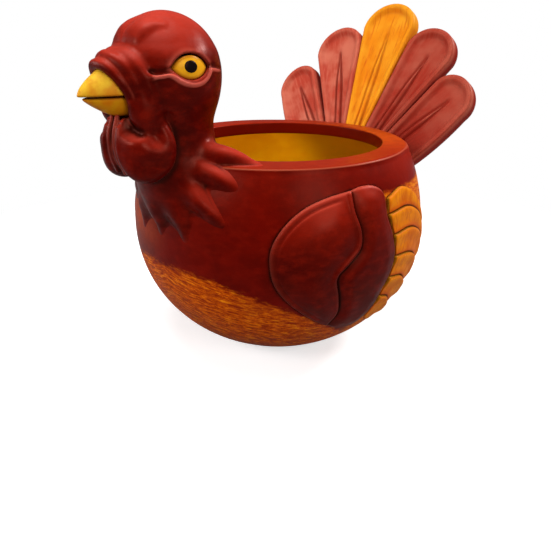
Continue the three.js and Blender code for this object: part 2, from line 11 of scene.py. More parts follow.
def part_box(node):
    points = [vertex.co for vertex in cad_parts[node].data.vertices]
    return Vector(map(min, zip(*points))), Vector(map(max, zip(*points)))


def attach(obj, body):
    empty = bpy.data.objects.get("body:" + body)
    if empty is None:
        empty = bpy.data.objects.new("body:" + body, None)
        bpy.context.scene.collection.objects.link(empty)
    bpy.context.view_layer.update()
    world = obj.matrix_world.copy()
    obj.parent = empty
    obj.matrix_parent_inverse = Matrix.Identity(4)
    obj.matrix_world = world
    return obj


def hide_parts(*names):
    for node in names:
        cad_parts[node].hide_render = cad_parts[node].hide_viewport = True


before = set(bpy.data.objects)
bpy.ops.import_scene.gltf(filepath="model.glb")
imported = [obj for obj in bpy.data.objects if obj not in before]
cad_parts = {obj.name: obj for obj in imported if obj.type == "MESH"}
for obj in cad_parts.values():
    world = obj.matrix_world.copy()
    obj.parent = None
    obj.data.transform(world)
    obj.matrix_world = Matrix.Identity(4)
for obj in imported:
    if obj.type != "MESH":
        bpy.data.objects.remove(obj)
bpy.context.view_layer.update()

# The widest ring gives the scale: metres for one millimetre of the part
BELLY_RADIUS = 55.0
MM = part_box("bowl_body")[1].x / BELLY_RADIUS

# The body is a superellipse of revolution with a flat foot and a flat rim
WIDEST_HEIGHT = 47.5
LOWER_AXIS = 49.55
FULLNESS = 2.16
RIM_HEIGHT = 77.5
RIM_RADIUS = 47.2
UPPER_AXIS = (RIM_HEIGHT - WIDEST_HEIGHT) / math.sqrt(1 - (RIM_RADIUS / BELLY_RADIUS) ** FULLNESS)

MOUTH_RADIUS = 37.85
MOUTH_SET_BACK = 1.7
LIP_DEPTH = 4.5
WALL = 7.0
FLOOR = 8.0
CAVITY_RADIUS = BELLY_RADIUS - WALL
CAVITY_LOWER_AXIS = WIDEST_HEIGHT - FLOOR
LIP_HEIGHT = RIM_HEIGHT - LIP_DEPTH
CAVITY_UPPER_AXIS = (LIP_HEIGHT - WIDEST_HEIGHT) / math.sqrt(
    1 - (MOUTH_RADIUS / CAVITY_RADIUS) ** FULLNESS
)

HEAD = np.array([0.0, -48.2, 104.4])
HEAD_RADIUS = 16.85

# How far a separate piece reaches into what carries it
SEAT = 1.2


# Lines and distances

# Stands for no distance yet, and keeps a length from being nought
FAR = 1e9
NEAR_NOUGHT = 1e-9
# Steps on each span of a form's sections and of the wings' outlines
SECTION_SPANS = 6


def smooth_line(places, per_span):
    """A smooth line through places, with some steps on each span between two of them."""
    places = np.asarray(places, float)
    before = 2 * places[0] - places[1]
    after = 2 * places[-1] - places[-2]
    padded = np.vstack([before, places, after])
    rows = []
    for i in range(len(places) - 1):
        a, b, c, d = padded[i:i + 4]
        for t in np.arange(per_span) / per_span:
            bend = 2 * a - 5 * b + 4 * c - d
            twist = 3 * b - a - 3 * c + d
            rows.append(b + 0.5 * ((c - a) * t + bend * t**2 + twist * t**3))
    rows.append(places[-1])
    return np.array(rows)


def smooth_min(a, b, reach):
    """The lower of two distances, with a soft valley as wide as the reach."""
    overlap = np.maximum(reach - np.abs(a - b), 0) / reach
    return np.minimum(a, b) - overlap**2 * reach / 4


def smooth_max(a, b, reach):
    return -smooth_min(-a, -b, reach)


def smooth_step(value, low, high):
    share = np.clip((value - low) / (high - low), 0, 1)
    return share * share * (3 - 2 * share)


def bell(value, width):
    """One at zero, falling off smoothly on both sides."""
    return np.exp(-((value / width) ** 2))


def ellipsoid(points, centre, radii):
    """Distance to an ellipsoid, close to true near its surface."""
    scaled = (points - np.asarray(centre, float)) / radii
    near = np.linalg.norm(scaled, axis=1)
    steep = np.linalg.norm(scaled / radii, axis=1)
    return near * (near - 1) / np.maximum(steep, 1e-6)


# Beyond this distance from a chain its exact distance doesn't matter
CHAIN_REACH = 9.0
STRAND_SPANS = 8


def chain(points, route):
    """Distance to a smooth strand through rows of x, y, z and radius."""
    line = smooth_line(route, STRAND_SPANS)
    thickest = line[:, 3].max() + CHAIN_REACH
    low = line[:, :3].min(0) - thickest
    high = line[:, :3].max(0) + thickest
    near = np.all((points > low) & (points < high), axis=1)
    chosen = points[near]
    best = np.full(len(chosen), CHAIN_REACH)
    for start, end in zip(line[:-1], line[1:]):
        axis = end[:3] - start[:3]
        offset = chosen - start[:3]
        share = np.clip(offset @ axis / max(axis @ axis, NEAR_NOUGHT), 0, 1)
        gap = np.linalg.norm(offset - share[:, None] * axis, axis=1)
        best = np.minimum(best, gap - start[3] - share * (end[3] - start[3]))
    distance = np.full(len(points), CHAIN_REACH)
    distance[near] = best
    return distance


def with_strands(shape, points, routes, reach):
    """A form with strands that stand on it."""
    for route in routes:
        shape = smooth_min(shape, chain(points, route), reach)
    return shape


def without_strands(shape, points, routes, reach):
    """A form with strands cut out of it."""
    for route in routes:
        shape = smooth_max(shape, -chain(points, route), reach)
    return shape


def between(sections, places):
    """The other columns of a form's sections, read at places along their first column."""
    return [np.interp(places, sections[:, 0], column) for column in sections[:, 1:].T]


def polygon(points, corners):
    """Distance in the plane to a closed outline, negative inside."""
    x, y = points[:, 0], points[:, 1]
    nearest = np.full(len(points), FAR)
    inside = np.zeros(len(points), bool)
    for (ax, ay), (bx, by) in zip(corners, np.roll(corners, -1, 0)):
        ex, ey = bx - ax, by - ay
        share = np.clip(((x - ax) * ex + (y - ay) * ey) / max(ex * ex + ey * ey, NEAR_NOUGHT), 0, 1)
        nearest = np.minimum(nearest, (x - ax - share * ex) ** 2 + (y - ay - share * ey) ** 2)
        if ay != by:
            crossing = (ay > y) != (by > y)
            inside ^= crossing & (x < ax + (y - ay) * ex / ey)
    distance = np.sqrt(nearest)
    return np.where(inside, -distance, distance)


def distance_to_line(points, line):
    """Distance in the plane to an open line."""
    nearest = np.full(len(points), FAR)
    for start, end in zip(line[:-1], line[1:]):
        axis = end - start
        offset = points - start
        share = np.clip(offset @ axis / max(axis @ axis, NEAR_NOUGHT), 0, 1)
        nearest = np.minimum(nearest, np.sum((offset - share[:, None] * axis) ** 2, axis=1))
    return np.sqrt(nearest)


# Spacing of the flat maps that hold distances in a plane, and their margin round an outline
MAP_STEP = 0.2
MAP_MARGIN = 5.0


def mapped(distance, outline, rounds=0):
    """A quick form of a distance in the plane, read from a map of it.

    Each round takes a little more off the ridges of the map.
    """
    low = outline.min(0) - MAP_MARGIN
    counts = np.ceil((outline.max(0) + MAP_MARGIN - low) / MAP_STEP).astype(int) + 2
    rows = [low[i] + np.arange(counts[i]) * MAP_STEP for i in range(2)]
    places = np.stack(np.meshgrid(*rows, indexing="ij"), -1).reshape(-1, 2)
    values = distance(places).reshape(counts)
    for _ in range(rounds):
        sums = values[:-2, 1:-1] + values[2:, 1:-1] + values[1:-1, :-2] + values[1:-1, 2:]
        values[1:-1, 1:-1] = sums / 4

    def read(plan):
        place = np.clip((plan - low) / MAP_STEP, 0, counts - 1.001)
        cell = place.astype(int)
        x, y = (place - cell).T
        i, j = cell.T
        first = values[i, j] * (1 - x) + values[i + 1, j] * x
        second = values[i, j + 1] * (1 - x) + values[i + 1, j + 1] * x
        return first * (1 - y) + second * y

    return read


# The body as a field

BODY_EDGE_RADIUS = 1.2
# Half the height over which the slope of the side is read
SLOPE_REACH = 0.5
# Keeps the distance from fading to nothing where the side runs level
LEAST_SQUARED_COSINE = 0.05


def body_radius(height):
    rise = height - WIDEST_HEIGHT
    axis = np.where(rise < 0, LOWER_AXIS, UPPER_AXIS)
    return BELLY_RADIUS * np.maximum(1 - (rise / axis) ** 2, 0) ** (1 / FULLNESS)


def body_field(points):
    """Distance to the full body, as if it had no hollow."""
    height = np.clip(points[:, 2], 0, RIM_HEIGHT)
    widening = body_radius(height + SLOPE_REACH) - body_radius(height - SLOPE_REACH)
    slope = widening / np.hypot(1, widening)
    radius = np.hypot(points[:, 0], points[:, 1])
    side = (radius - body_radius(height)) * np.sqrt(np.maximum(1 - slope**2, LEAST_SQUARED_COSINE))
    return smooth_max(side, points[:, 2] - RIM_HEIGHT, BODY_EDGE_RADIUS)


# Surfaces from fields

# Steps of the coarse grid that finds where a surface runs, and how near to it the fine one is worked out
COARSE = 3
NEAR_STEPS = 5
SETTLE_ROUNDS = 3
SLOPE_SPAN = 0.05
LEAST_SLOPE = 0.2
# Distances at which hollows and ridges are felt
FEEL_REACHES = (0.7, 1.6, 3.2)
# A distance that a form's stretching makes too large is brought down by its factor
BEAK_SHRINK = 0.9
LAID_SHRINK = 0.9
PETAL_SHRINK = 0.92


def sample(field, low, high, step):
    """Values of a field on a grid, worked out closely only near its surface."""
    counts = np.ceil((high - low) / (step * COARSE)).astype(int)
    rows = [low[i] + (np.arange(counts[i]) * COARSE + (COARSE - 1) / 2) * step for i in range(3)]
    centres = np.stack(np.meshgrid(*rows, indexing="ij"), -1).reshape(-1, 3)
    coarse = field(centres).reshape(counts)
    values = coarse.repeat(COARSE, 0).repeat(COARSE, 1).repeat(COARSE, 2)
    close = np.abs(values) < NEAR_STEPS * step
    values[close] = field(low + np.argwhere(close) * step)
    return values


def surface_nets(values, low, step):
    """Points and four-sided faces of the surface where the values change sign."""
    inside = values < 0
    cells = np.array(values.shape) - 1
    crossings, corners = [], []
    for axis in range(3):
        u, v = (axis + 1) % 3, (axis + 2) % 3
        count = values.shape[axis]
        lower = inside.take(range(count - 1), axis)
        upper = inside.take(range(1, count), axis)
        edges = np.argwhere(lower != upper)
        within = (edges[:, u] > 0) & (edges[:, v] > 0)
        within &= (edges[:, u] < cells[u]) & (edges[:, v] < cells[v])
        edges = edges[within]
        ahead = edges.copy()
        ahead[:, axis] += 1
        first = values[tuple(edges.T)]
        second = values[tuple(ahead.T)]
        place = edges.astype(float)
        place[:, axis] += first / (first - second)
        quad = []
        for du, dv in ((-1, -1), (0, -1), (0, 0), (-1, 0)):
            cell = edges.copy()
            cell[:, u] += du
            cell[:, v] += dv
            quad.append(np.ravel_multi_index(cell.T, cells))
        quad = np.stack(quad, 1)
        outward = inside[tuple(edges.T)]
        corners.append(np.where(outward[:, None], quad, quad[:, ::-1]))
        crossings.append(place)
    corners = np.vstack(corners)
    crossings = np.vstack(crossings)
    index = np.unique(corners, return_inverse=True)[1].reshape(corners.shape)
    flat = index.ravel()
    weights = np.bincount(flat)
    repeated = np.repeat(crossings, 4, axis=0)
    sums = [np.bincount(flat, repeated[:, i]) / weights for i in range(3)]
    return low + np.stack(sums, 1) * step, index


def slopes(points, field, value):
    """How a field climbs along each axis."""
    climb = []
    for axis in range(3):
        moved = points.copy()
        moved[:, axis] += SLOPE_SPAN
        climb.append((field(moved) - value) / SLOPE_SPAN)
    return np.stack(climb, 1)


def settle(points, field, step):
    """Moves points onto the surface, and gives the way out of it at each."""
    for _ in range(SETTLE_ROUNDS):
        value = field(points)
        climb = slopes(points, field, value)
        steep = np.maximum(np.linalg.norm(climb, axis=1), LEAST_SLOPE)
        outward = climb / steep[:, None]
        move = np.clip(value / steep, -step / 2, step / 2)
        points = points - outward * move[:, None]
    return points, outward


def feel(points, outward, field):
    """How hollow and how ridged a surface is at each point, from the field outside and inside it."""
    here = field(points)
    hollow = [1 - (field(points + outward * reach) - here) / reach for reach in FEEL_REACHES]
    ridge = [1 + (field(points - outward * reach) - here) / reach for reach in FEEL_REACHES]
    return np.clip(np.mean(hollow, 0), 0, 1), np.clip(np.mean(ridge, 0), 0, 1)


def write_values(mesh, attributes):
    """Stores named values at the points of a mesh."""
    for key, values in attributes.items():
        layer = mesh.attributes.new(key, "FLOAT", "POINT")
        layer.data.foreach_set("value", np.asarray(values, np.float32))


def read_vertices(mesh, name):
    values = np.zeros(len(mesh.vertices) * 3, np.float32)
    mesh.vertices.foreach_get(name, values)
    return values.reshape(-1, 3).astype(float)


def sculpt(field, low, high, step, felt=None, extra=None):
    """A closed mesh of a field's surface, in millimetres."""
    low = np.asarray(low, float)
    values = sample(field, low, np.asarray(high, float), step)
    points, faces = surface_nets(values, low, step)
    points, outward = settle(points, field, step)
    hollow, ridge = feel(points, outward, felt or field)
    mesh = bpy.data.meshes.new("sculpted")
    mesh.from_pydata(points.tolist(), [], faces.tolist())
    write_values(mesh, {"hollow": hollow, "ridge": ridge})
    if extra:
        write_values(mesh, extra(points))
    mesh.shade_smooth()
    return mesh


def in_scene(name, data):
    """A new object in the scene."""
    made = bpy.data.objects.new(name, data)
    bpy.context.scene.collection.objects.link(made)
    return made


def to_metres(mesh):
    mesh.transform(Matrix.Scale(MM, 4))
    return mesh


# The head, neck, face folds and ruff are one skin

def mirrored(points):
    return np.stack([np.abs(points[:, 0]), points[:, 1], points[:, 2]], 1)


def on_head(azimuth, elevation, lift=0.0):
    """A place over the head, by degrees round from the front and degrees up."""
    a, e = math.radians(azimuth), math.radians(elevation)
    way = np.array([math.sin(a) * math.cos(e), -math.cos(a) * math.cos(e), math.sin(e)])
    return HEAD + way * (HEAD_RADIUS + lift)


def strand_on_head(rows):
    """Rows of azimuth, elevation, lift and radius, as rows of x, y, z and radius."""
    return [[*on_head(azimuth, elevation, lift), radius] for azimuth, elevation, lift, radius in rows]


# Height, middle Y, half width and half depth of the neck's sections
NECK_SECTIONS = smooth_line([
    (108, -48.2, 13.2, 13.0),
    (104, -48.0, 14.0, 13.9),
    (97, -47.6, 14.3, 14.2),
    (89, -47.0, 13.0, 12.8),
    (82, -46.6, 13.2, 13.1),
    (74, -46.6, 14.7, 13.0),
    (66, -46.9, 14.3, 11.3),
    (59, -47.4, 11.4, 8.0),
], SECTION_SPANS)[::-1]

# Each lappet of the ruff, from its root to its tip, as rows of x, y, z and radius
LAPPETS = [
    [(9.0, -44.4, 79.6, 3.4), (14.6, -41.4, 79.9, 3.6), (20.2, -37.6, 79.0, 2.4), (25.2, -34.4, 77.6, 0.6)],
    [(12.0, -46.6, 76.2, 2.5), (16.2, -45.6, 75.0, 2.8), (20.6, -43.9, 73.2, 1.8), (25.0, -41.3, 70.8, 0.5)],
    [(11.4, -49.8, 70.8, 2.7), (15.0, -50.2, 67.8, 2.8), (19.0, -48.9, 64.2, 1.8), (22.8, -46.9, 60.8, 0.5)],
    [(7.4, -52.4, 66.0, 2.6), (8.9, -53.0, 62.4, 2.8), (10.4, -52.9, 58.8, 1.8), (11.5, -52.3, 54.2, 0.5)],
]
FRONT_LAPPET = [(0, -53.6, 66.4, 2.6), (0, -54.5, 62.8, 2.7), (0, -54.4, 58.8, 1.7), (0, -53.3, 54.4, 0.5)]

# The eye lies in an almond on the side of the head, given in a plane square to its middle
EYE_AZIMUTH = 81.0
EYE_ELEVATION = 7.0
EYE_OUT = (on_head(EYE_AZIMUTH, EYE_ELEVATION) - HEAD) / HEAD_RADIUS
EYE_BACK = np.array([-EYE_OUT[1], EYE_OUT[0], 0]) / math.hypot(EYE_OUT[0], EYE_OUT[1])
EYE_UP = np.cross(EYE_OUT, EYE_BACK)
EYE_UPPER_ARC = (0.6, -3.7, 6.75)
EYE_LOWER_ARC = (0.6, 3.4, 6.65)
EYE_DOME_RADIUS = 9.6
EYE_DOME_LIFT = -0.15
EYE_FLOOR = 12.0
PUPIL_RADIUS = 1.72
PUPIL_WIDENED = 1.2
PUPIL_MIDDLE = (0.2, 0.1)
PUPIL_LIFT = 0.22

# The line of the lower lid, which runs on as a crease to the snood and to the back of the head
LID_LINE = strand_on_head([
    (34, 0.4, 0.5, 0.4), (39, -0.8, 0.5, 0.45), (46, -1.2, 0.5, 0.45), (53, -0.6, 0.5, 0.45),
    (59, 0.2, 0.45, 0.45), (64, -1.6, 0.4, 0.5), (69, -5.0, 0.4, 0.5), (75, -7.8, 0.4, 0.5),
    (83, -9.4, 0.4, 0.5), (91, -8.4, 0.4, 0.5), (98, -4.8, 0.4, 0.5), (103, 0.2, 0.35, 0.5),
    (105, 3.2, 0.2, 0.45), (109, 3.0, 0.1, 0.4), (116, 1.8, 0.1, 0.4), (126, 0.4, 0, 0.3),
])
LID_LINE_WIDTH = 0.34
BROW_GROOVES = [
    strand_on_head([(34, 4.6, 0.3, 0.6), (42, 3.0, 0.35, 0.85), (52, 3.2, 0.35, 0.85), (61, 4.4, 0.2, 0.6)]),
    strand_on_head([(104, 6.2, 0.3, 0.5), (109, 6.2, 0.35, 0.65), (116, 4.8, 0.4, 0.6), (126, 3, 0.5, 0.4)]),
]

# The snood hangs over the root of the beak in three folds on each side
SNOOD_PAD = [
    (0, -64.6, 106.8, 4.5), (5.2, -62.9, 105.2, 4.3), (7.4, -60.8, 101.0, 4.0), (7.8, -59.6, 96, 3.6),
]
SNOOD_FOLDS = [
    [(0, -70.2, 107.5, 1.5), (3.0, -69.7, 106.8, 1.6), (5.7, -68.0, 104.2, 1.6), (7.2, -66.2, 100.6, 1.5),
     (7.6, -65.0, 97.2, 1.5), (7.4, -64.1, 94.0, 1.4)],
    [(0, -67.9, 109.5, 1.6), (3.7, -67.0, 108.5, 1.6), (6.9, -65.5, 106.0, 1.6), (8.8, -64.2, 101.9, 1.6),
     (9.5, -62.9, 97.4, 1.5), (9.2, -62.0, 93.6, 1.3)],
    [(0, -64.8, 110.4, 1.4), (4.5, -63.8, 109.6, 1.5), (7.9, -63.2, 107.6, 1.5), (10.2, -62.3, 104.2, 1.4),
     (11.3, -61.2, 100, 1.3), (11.3, -60.0, 95.6, 1.1)],
]
FOREHEAD_RIDGES = [
    strand_on_head([(10, 38, -1.7, 1.2), (13, 45, -1.4, 1.6), (20, 53, -1.5, 1.5), (30, 60, -1.9, 1.1)]),
    strand_on_head([(24, 37, -1.5, 1.2), (32, 46, -1.2, 1.5), (42, 52, -1.4, 1.4), (56, 54, -1.8, 1.0)]),
]

# The forehead is a little flatter on each side than the round of the skull
FOREHEAD_SIDE = on_head(67, 40)
FOREHEAD_FLAT = 1.0
FOREHEAD_FLAT_REACH = 8.0
CHEEK_LOBE = ((8.0, -61.3, 94.0), (4.1, 4.5, 5.4))
WATTLE = ((5.3, -61.6, 83.3), (6.2, 7.2, 9.9))
# The wattle's rim is a thick fold that runs down the front, under and up at the back
WATTLE_ROLL = [
    (3.6, -66.0, 91.0, 1.5), (4.0, -66.9, 86.6, 1.8), (4.6, -66.5, 81.8, 2.2), (6.0, -64.8, 78.2, 2.7),
    (8.4, -61.6, 77.3, 3.0), (10.4, -58.6, 79.8, 3.0), (11.3, -57.3, 84.2, 2.7), (10.6, -57.8, 88.6, 2.3),
    (9.2, -59.4, 92.4, 1.8),
]
# A tongue of skin that runs back over its side
WATTLE_TONGUE = [
    (7.0, -65.0, 86.6, 1.4), (8.4, -64.4, 84.9, 2.0), (9.8, -62.6, 83.5, 2.2), (11, -60.4, 83, 1.8),
]
WATTLE_RIDGES = [
    [(1.2, -66.8, 93.0, 0.7), (1.3, -68.2, 88, 0.9), (1.5, -68.1, 82, 0.9), (1.9, -66.5, 76.6, 0.7)],
    [(3.4, -68.0, 90.0, 0.5), (3.8, -68.9, 86, 0.7), (4.2, -68.6, 81.4, 0.7), (5.2, -66.8, 77.2, 0.5)],
]
WATTLE_HOLLOW = ((8.2, -65.9, 90.6), (2.5, 2.7, 3.0))
# The web joins the two wattles in the middle, and the slit parts each from the neck
WATTLE_WEB = ((0.0, -61.4, 83.6), (1.8, 7.2, 9.4))
WATTLE_SLIT = [
    (12.4, -56.4, 93, 0.4), (13.2, -55.4, 89, 0.7), (13.8, -54.7, 85, 0.7), (13.4, -54.5, 81, 0.4),
]
WATTLE_PARTING = 0.1

# How softly each form runs into the rest
FOREHEAD_BLEND = 2.4
NECK_BLEND = 5
NECK_END_BLEND = 4
BROW_BLEND = 0.9
LID_BLEND = 0.7
SNOOD_FOLD_BLEND = 1.5
SNOOD_BLEND = 1.8
CHEEK_BLEND = 2.6
SLIT_BLEND = 2.2
WATTLE_ROLL_BLEND = 2.4
WATTLE_HOLLOW_BLEND = 3.0
WATTLE_TONGUE_BLEND = 3.0
WATTLE_EDGE_BLEND = 1.2
WATTLE_WEB_BLEND = 1.0
WATTLE_BLEND = 1.8
LAPPET_BLEND = 1.1
RUFF_BLEND = 3.4
SOCKET_BLEND = 0.6
EYE_BLEND = 0.5
PUPIL_BLEND = 0.45
# How much wider the eye's socket is cut than the eye, and how much its upper lid is raised
SOCKET_GAP = 0.25
SOCKET_RAISED = 0.4
SOCKET_FLOOR = EYE_FLOOR - 1
EYE_GROWN = 0.1

# Grid steps and boxes in which the pieces of the head are sculpted
BUST_STEP = 0.4
BUST_BOX = (-30, -76, 47), (30, -24, 124)
EYE_STEP = 0.2
PUPIL_STEP = 0.14
EYE_REACH = 7
BEAK_STEP = 0.26
BEAK_BOX = (-10, -80, 90), (10, -57, 111)


def eye_plane(points):
    """Places beside the eye's middle: towards the back, up, and out from the head's centre."""
    offset = points - HEAD
    return offset @ EYE_BACK, offset @ EYE_UP, offset @ EYE_OUT


def almond(back, up, grow=0.0, raised=0.0):
    """Distance in the eye's plane to its almond outline, with the upper lid raised."""
    upper = np.hypot(back - EYE_UPPER_ARC[0], up - EYE_UPPER_ARC[1] - raised) - EYE_UPPER_ARC[2]
    lower = np.hypot(back - EYE_LOWER_ARC[0], up - EYE_LOWER_ARC[1]) - EYE_LOWER_ARC[2]
    return np.maximum(upper, lower) - grow


def eye_dome(points):
    middle = HEAD + EYE_OUT * (HEAD_RADIUS + EYE_DOME_LIFT - EYE_DOME_RADIUS)
    return np.linalg.norm(points - middle, axis=1) - EYE_DOME_RADIUS


def eye_field(points):
    back, up, out = eye_plane(points)
    dome = np.maximum(eye_dome(points), EYE_FLOOR - out)
    return smooth_max(dome, almond(back, up, EYE_GROWN), EYE_BLEND)


def pupil_field(points):
    back, up, out = eye_plane(points)
    disc = np.hypot((back - PUPIL_MIDDLE[0]) / PUPIL_WIDENED, up - PUPIL_MIDDLE[1]) - PUPIL_RADIUS
    cap = np.maximum(eye_dome(points) - PUPIL_LIFT, -eye_dome(points) - SEAT)
    return smooth_max(np.maximum(cap, EYE_FLOOR - out), disc, PUPIL_BLEND)


def neck_field(points):
    height = points[:, 2]
    low, high = NECK_SECTIONS[0, 0], NECK_SECTIONS[-1, 0]
    middle, half_width, half_depth = between(NECK_SECTIONS, height)
    outward = np.hypot(points[:, 0] / half_width, (points[:, 1] - middle) / half_depth)
    side = (outward - 1) * np.minimum(half_width, half_depth)
    return smooth_max(side, np.maximum(low - height, height - high), NECK_END_BLEND)


def wattle_field(points):
    wattle = with_strands(ellipsoid(points, *WATTLE), points, [WATTLE_ROLL], WATTLE_ROLL_BLEND)
    wattle = smooth_max(wattle, -ellipsoid(points, *WATTLE_HOLLOW), WATTLE_HOLLOW_BLEND)
    wattle = with_strands(wattle, points, [WATTLE_TONGUE], WATTLE_TONGUE_BLEND)
    wattle = with_strands(wattle, points, WATTLE_RIDGES, WATTLE_EDGE_BLEND)
    wattle = smooth_max(wattle, WATTLE_PARTING - points[:, 0], WATTLE_EDGE_BLEND)
    return smooth_min(wattle, ellipsoid(points, *WATTLE_WEB), WATTLE_WEB_BLEND)


def head_field(points):
    """The head and neck with the folds of the face, without the ruff."""
    points = mirrored(points)
    skull = np.linalg.norm(points - HEAD, axis=1) - HEAD_RADIUS
    skull = with_strands(skull, points, FOREHEAD_RIDGES, FOREHEAD_BLEND)
    from_side = np.linalg.norm(points - FOREHEAD_SIDE, axis=1)
    skull += FOREHEAD_FLAT * bell(from_side, FOREHEAD_FLAT_REACH)
    shape = smooth_min(skull, neck_field(points), NECK_BLEND)
    shape = without_strands(shape, points, BROW_GROOVES, BROW_BLEND)
    shape = with_strands(shape, points, [LID_LINE], LID_BLEND)
    snood = with_strands(chain(points, SNOOD_PAD), points, SNOOD_FOLDS, SNOOD_FOLD_BLEND)
    shape = smooth_min(shape, snood, SNOOD_BLEND)
    shape = smooth_min(shape, ellipsoid(points, *CHEEK_LOBE), CHEEK_BLEND)
    shape = without_strands(shape, points, [WATTLE_SLIT], SLIT_BLEND)
    shape = smooth_min(shape, wattle_field(points), WATTLE_BLEND)
    back, up, out = eye_plane(points)
    socket = np.maximum(almond(back, up, SOCKET_GAP, SOCKET_RAISED), SOCKET_FLOOR - out)
    return smooth_max(shape, -socket, SOCKET_BLEND)


def ruff_field(points):
    points = mirrored(points)
    return with_strands(chain(points, FRONT_LAPPET), points, LAPPETS, LAPPET_BLEND)


def bust_field(points):
    return smooth_min(head_field(points), ruff_field(points), RUFF_BLEND)


# The skin thins out to nothing on the body with a soft fillet
FILLET = 3.0
FILLET_SUNK = 0.35
FILLET_REACH = 4.5


def skin_field(points):
    bust = bust_field(points)
    body = body_field(points)
    filleted = smooth_min(bust, body + FILLET_SUNK, FILLET)
    filleted = np.maximum(filleted, bust - FILLET_REACH)
    return np.maximum(filleted, -(body + SEAT))


def skin_with_body(points):
    return np.minimum(bust_field(points), body_field(points))


# The beak's halves

MOUTH_HEIGHT = 98.9
BEAK_GAP = 0.22
BEAK_ROOT = -60.0
BEAK_EDGE_RADIUS = 0.8
# Y, half width and height of each half's sections from the root to the tip
UPPER_BEAK = smooth_line([
    (-58, 7.8, 9.6), (-63, 7.5, 9.5), (-68, 6.3, 8.2), (-72.6, 4.3, 5.7), (-76, 2.3, 3.0), (-77.8, 0.3, 0.5),
], SECTION_SPANS)[::-1]
LOWER_BEAK = smooth_line([
    (-58, 6.4, 5.8), (-63, 6.4, 6.1), (-68, 5.3, 5.4), (-72.2, 3.6, 3.4), (-75, 2.0, 1.6), (-76.6, 0.3, 0.3),
], SECTION_SPANS)[::-1]


def beak_field(points, sections, upward):
    half_width, tall = between(sections, points[:, 1])
    rise = upward * (points[:, 2] - MOUTH_HEIGHT)
    outward = np.hypot(points[:, 0] / half_width, rise / tall)
    side = (outward - 1) * np.minimum(half_width, tall) * BEAK_SHRINK
    ends = np.maximum(sections[0, 0] - points[:, 1], points[:, 1] - BEAK_ROOT)
    return smooth_max(np.maximum(side, ends), BEAK_GAP - rise, BEAK_EDGE_RADIUS)


# The wings and flight feathers are shaped flat, as distance round the body, height and lift, then laid on it

WING_AZIMUTH = 68.0
WING_MIDDLE = np.array([math.radians(WING_AZIMUTH) * BELLY_RADIUS, 45.0])
WING_HALF = np.array([24.0, 26.0])
WING_CREASE = [
    (0.12, 0.97), (0.14, 0.74), (0.22, 0.5), (0.2, 0.28), (0.02, 0.1), (-0.12, -0.06), (-0.06, -0.34),
    (-0.02, -0.6), (-0.14, -0.83),
]
WING_FRONT = [
    (0.12, 0.97), (-0.24, 0.92), (-0.58, 0.81), (-0.86, 0.6), (-1.02, 0.32), (-1.0, -0.02),
    (-0.86, -0.28), (-0.62, -0.51), (-0.36, -0.7), (-0.14, -0.83),
]
WING_REAR = [
    (0.12, 0.97), (0.32, 1.0), (0.54, 0.98), (0.7, 0.87), (0.71, 0.61), (0.8, 0.37), (0.87, 0.08),
    (0.82, -0.21), (0.73, -0.4), (0.69, -0.63), (0.58, -0.84), (0.38, -0.96), (0.12, -0.93), (-0.14, -0.83),
]
FLIGHT_EDGES = [
    [(0.77, 0.8), (1.12, 0.88), (1.42, 0.79), (1.68, 0.6), (1.86, 0.34)],
    [(0.76, 0.6), (1.2, 0.62), (1.52, 0.52), (1.78, 0.34), (1.96, 0.06)],
    [(0.86, 0.32), (1.24, 0.33), (1.56, 0.24), (1.84, 0.06), (1.98, -0.2)],
    [(0.92, 0.02), (1.26, -0.02), (1.54, -0.12), (1.78, -0.28), (1.9, -0.5)],
    [(0.86, -0.27), (1.18, -0.34), (1.4, -0.46), (1.6, -0.6), (1.68, -0.76)],
    [(0.77, -0.54), (1.0, -0.62), (1.16, -0.74), (1.3, -0.86), (1.36, -0.98)],
    [(0.7, -0.9), (0.78, -0.98), (0.88, -1.04), (0.98, -1.08), (1.08, -1.1)],
]
# Each lobe rises from its edge to its middle, and the rear one stays low along its rear edge
WING_EDGE_HEIGHT = 1.15
WING_RISE = 1.7
WING_RISE_WIDTH = 9.0
REAR_EDGE_HEIGHT = 1.0
REAR_RISE = 0.8
REAR_RISE_WIDTH = 5.0
WING_EDGE_RADIUS = 1.2
WING_TOP = 4.2
# The rear lobe dips beside the crease, and the front lobe's edge stands up there in a bead
CREASE_DIP = 0.6
CREASE_DIP_WIDTH = 2.6
CREASE_BEAD = 0.7
CREASE_BEAD_INSET = 1.0
CREASE_BEAD_WIDTH = 0.9
# The bead fades out downwards over these heights beside the wing's middle
BEAD_FROM = -6
BEAD_TO = 4
# A fine line runs inside the front lobe's edge, away from the crease
RIM_LINE_DIP = 0.2
RIM_LINE_INSET = 2.1
RIM_LINE_WIDTH = 0.45
RIM_LINE_FROM_CREASE = 3
RIM_LINE_FULL = 7
REAR_EDGE_FROM_CREASE = 2
REAR_EDGE_FULL = 8
# Each flight feather is high along its upper edge, and slopes down to the next one
FEATHER_HIGH = 1.1
FEATHER_LOW = 0.35
FEATHER_FLAT = 0.8
FEATHER_SLOPE = 5.0
FEATHER_GROWN = 0.05
FEATHER_EDGE_RADIUS = 0.8
LAID_DEPTH = 0.8
WING_STEP = 0.4
FEATHER_STEP = 0.36
# Room left round a relief or a feather in the box that it is sculpted in
BOX_MARGIN = 1.5
BOX_BELOW = 1.0
TAIL_BOX_SPARE = 2.0
# Rounds that take the ridges off the middle of the lobes
LOBE_ROUNDS = 160


def wing_line(shares):
    return smooth_line(WING_MIDDLE + np.array(shares) * WING_HALF, SECTION_SPANS)


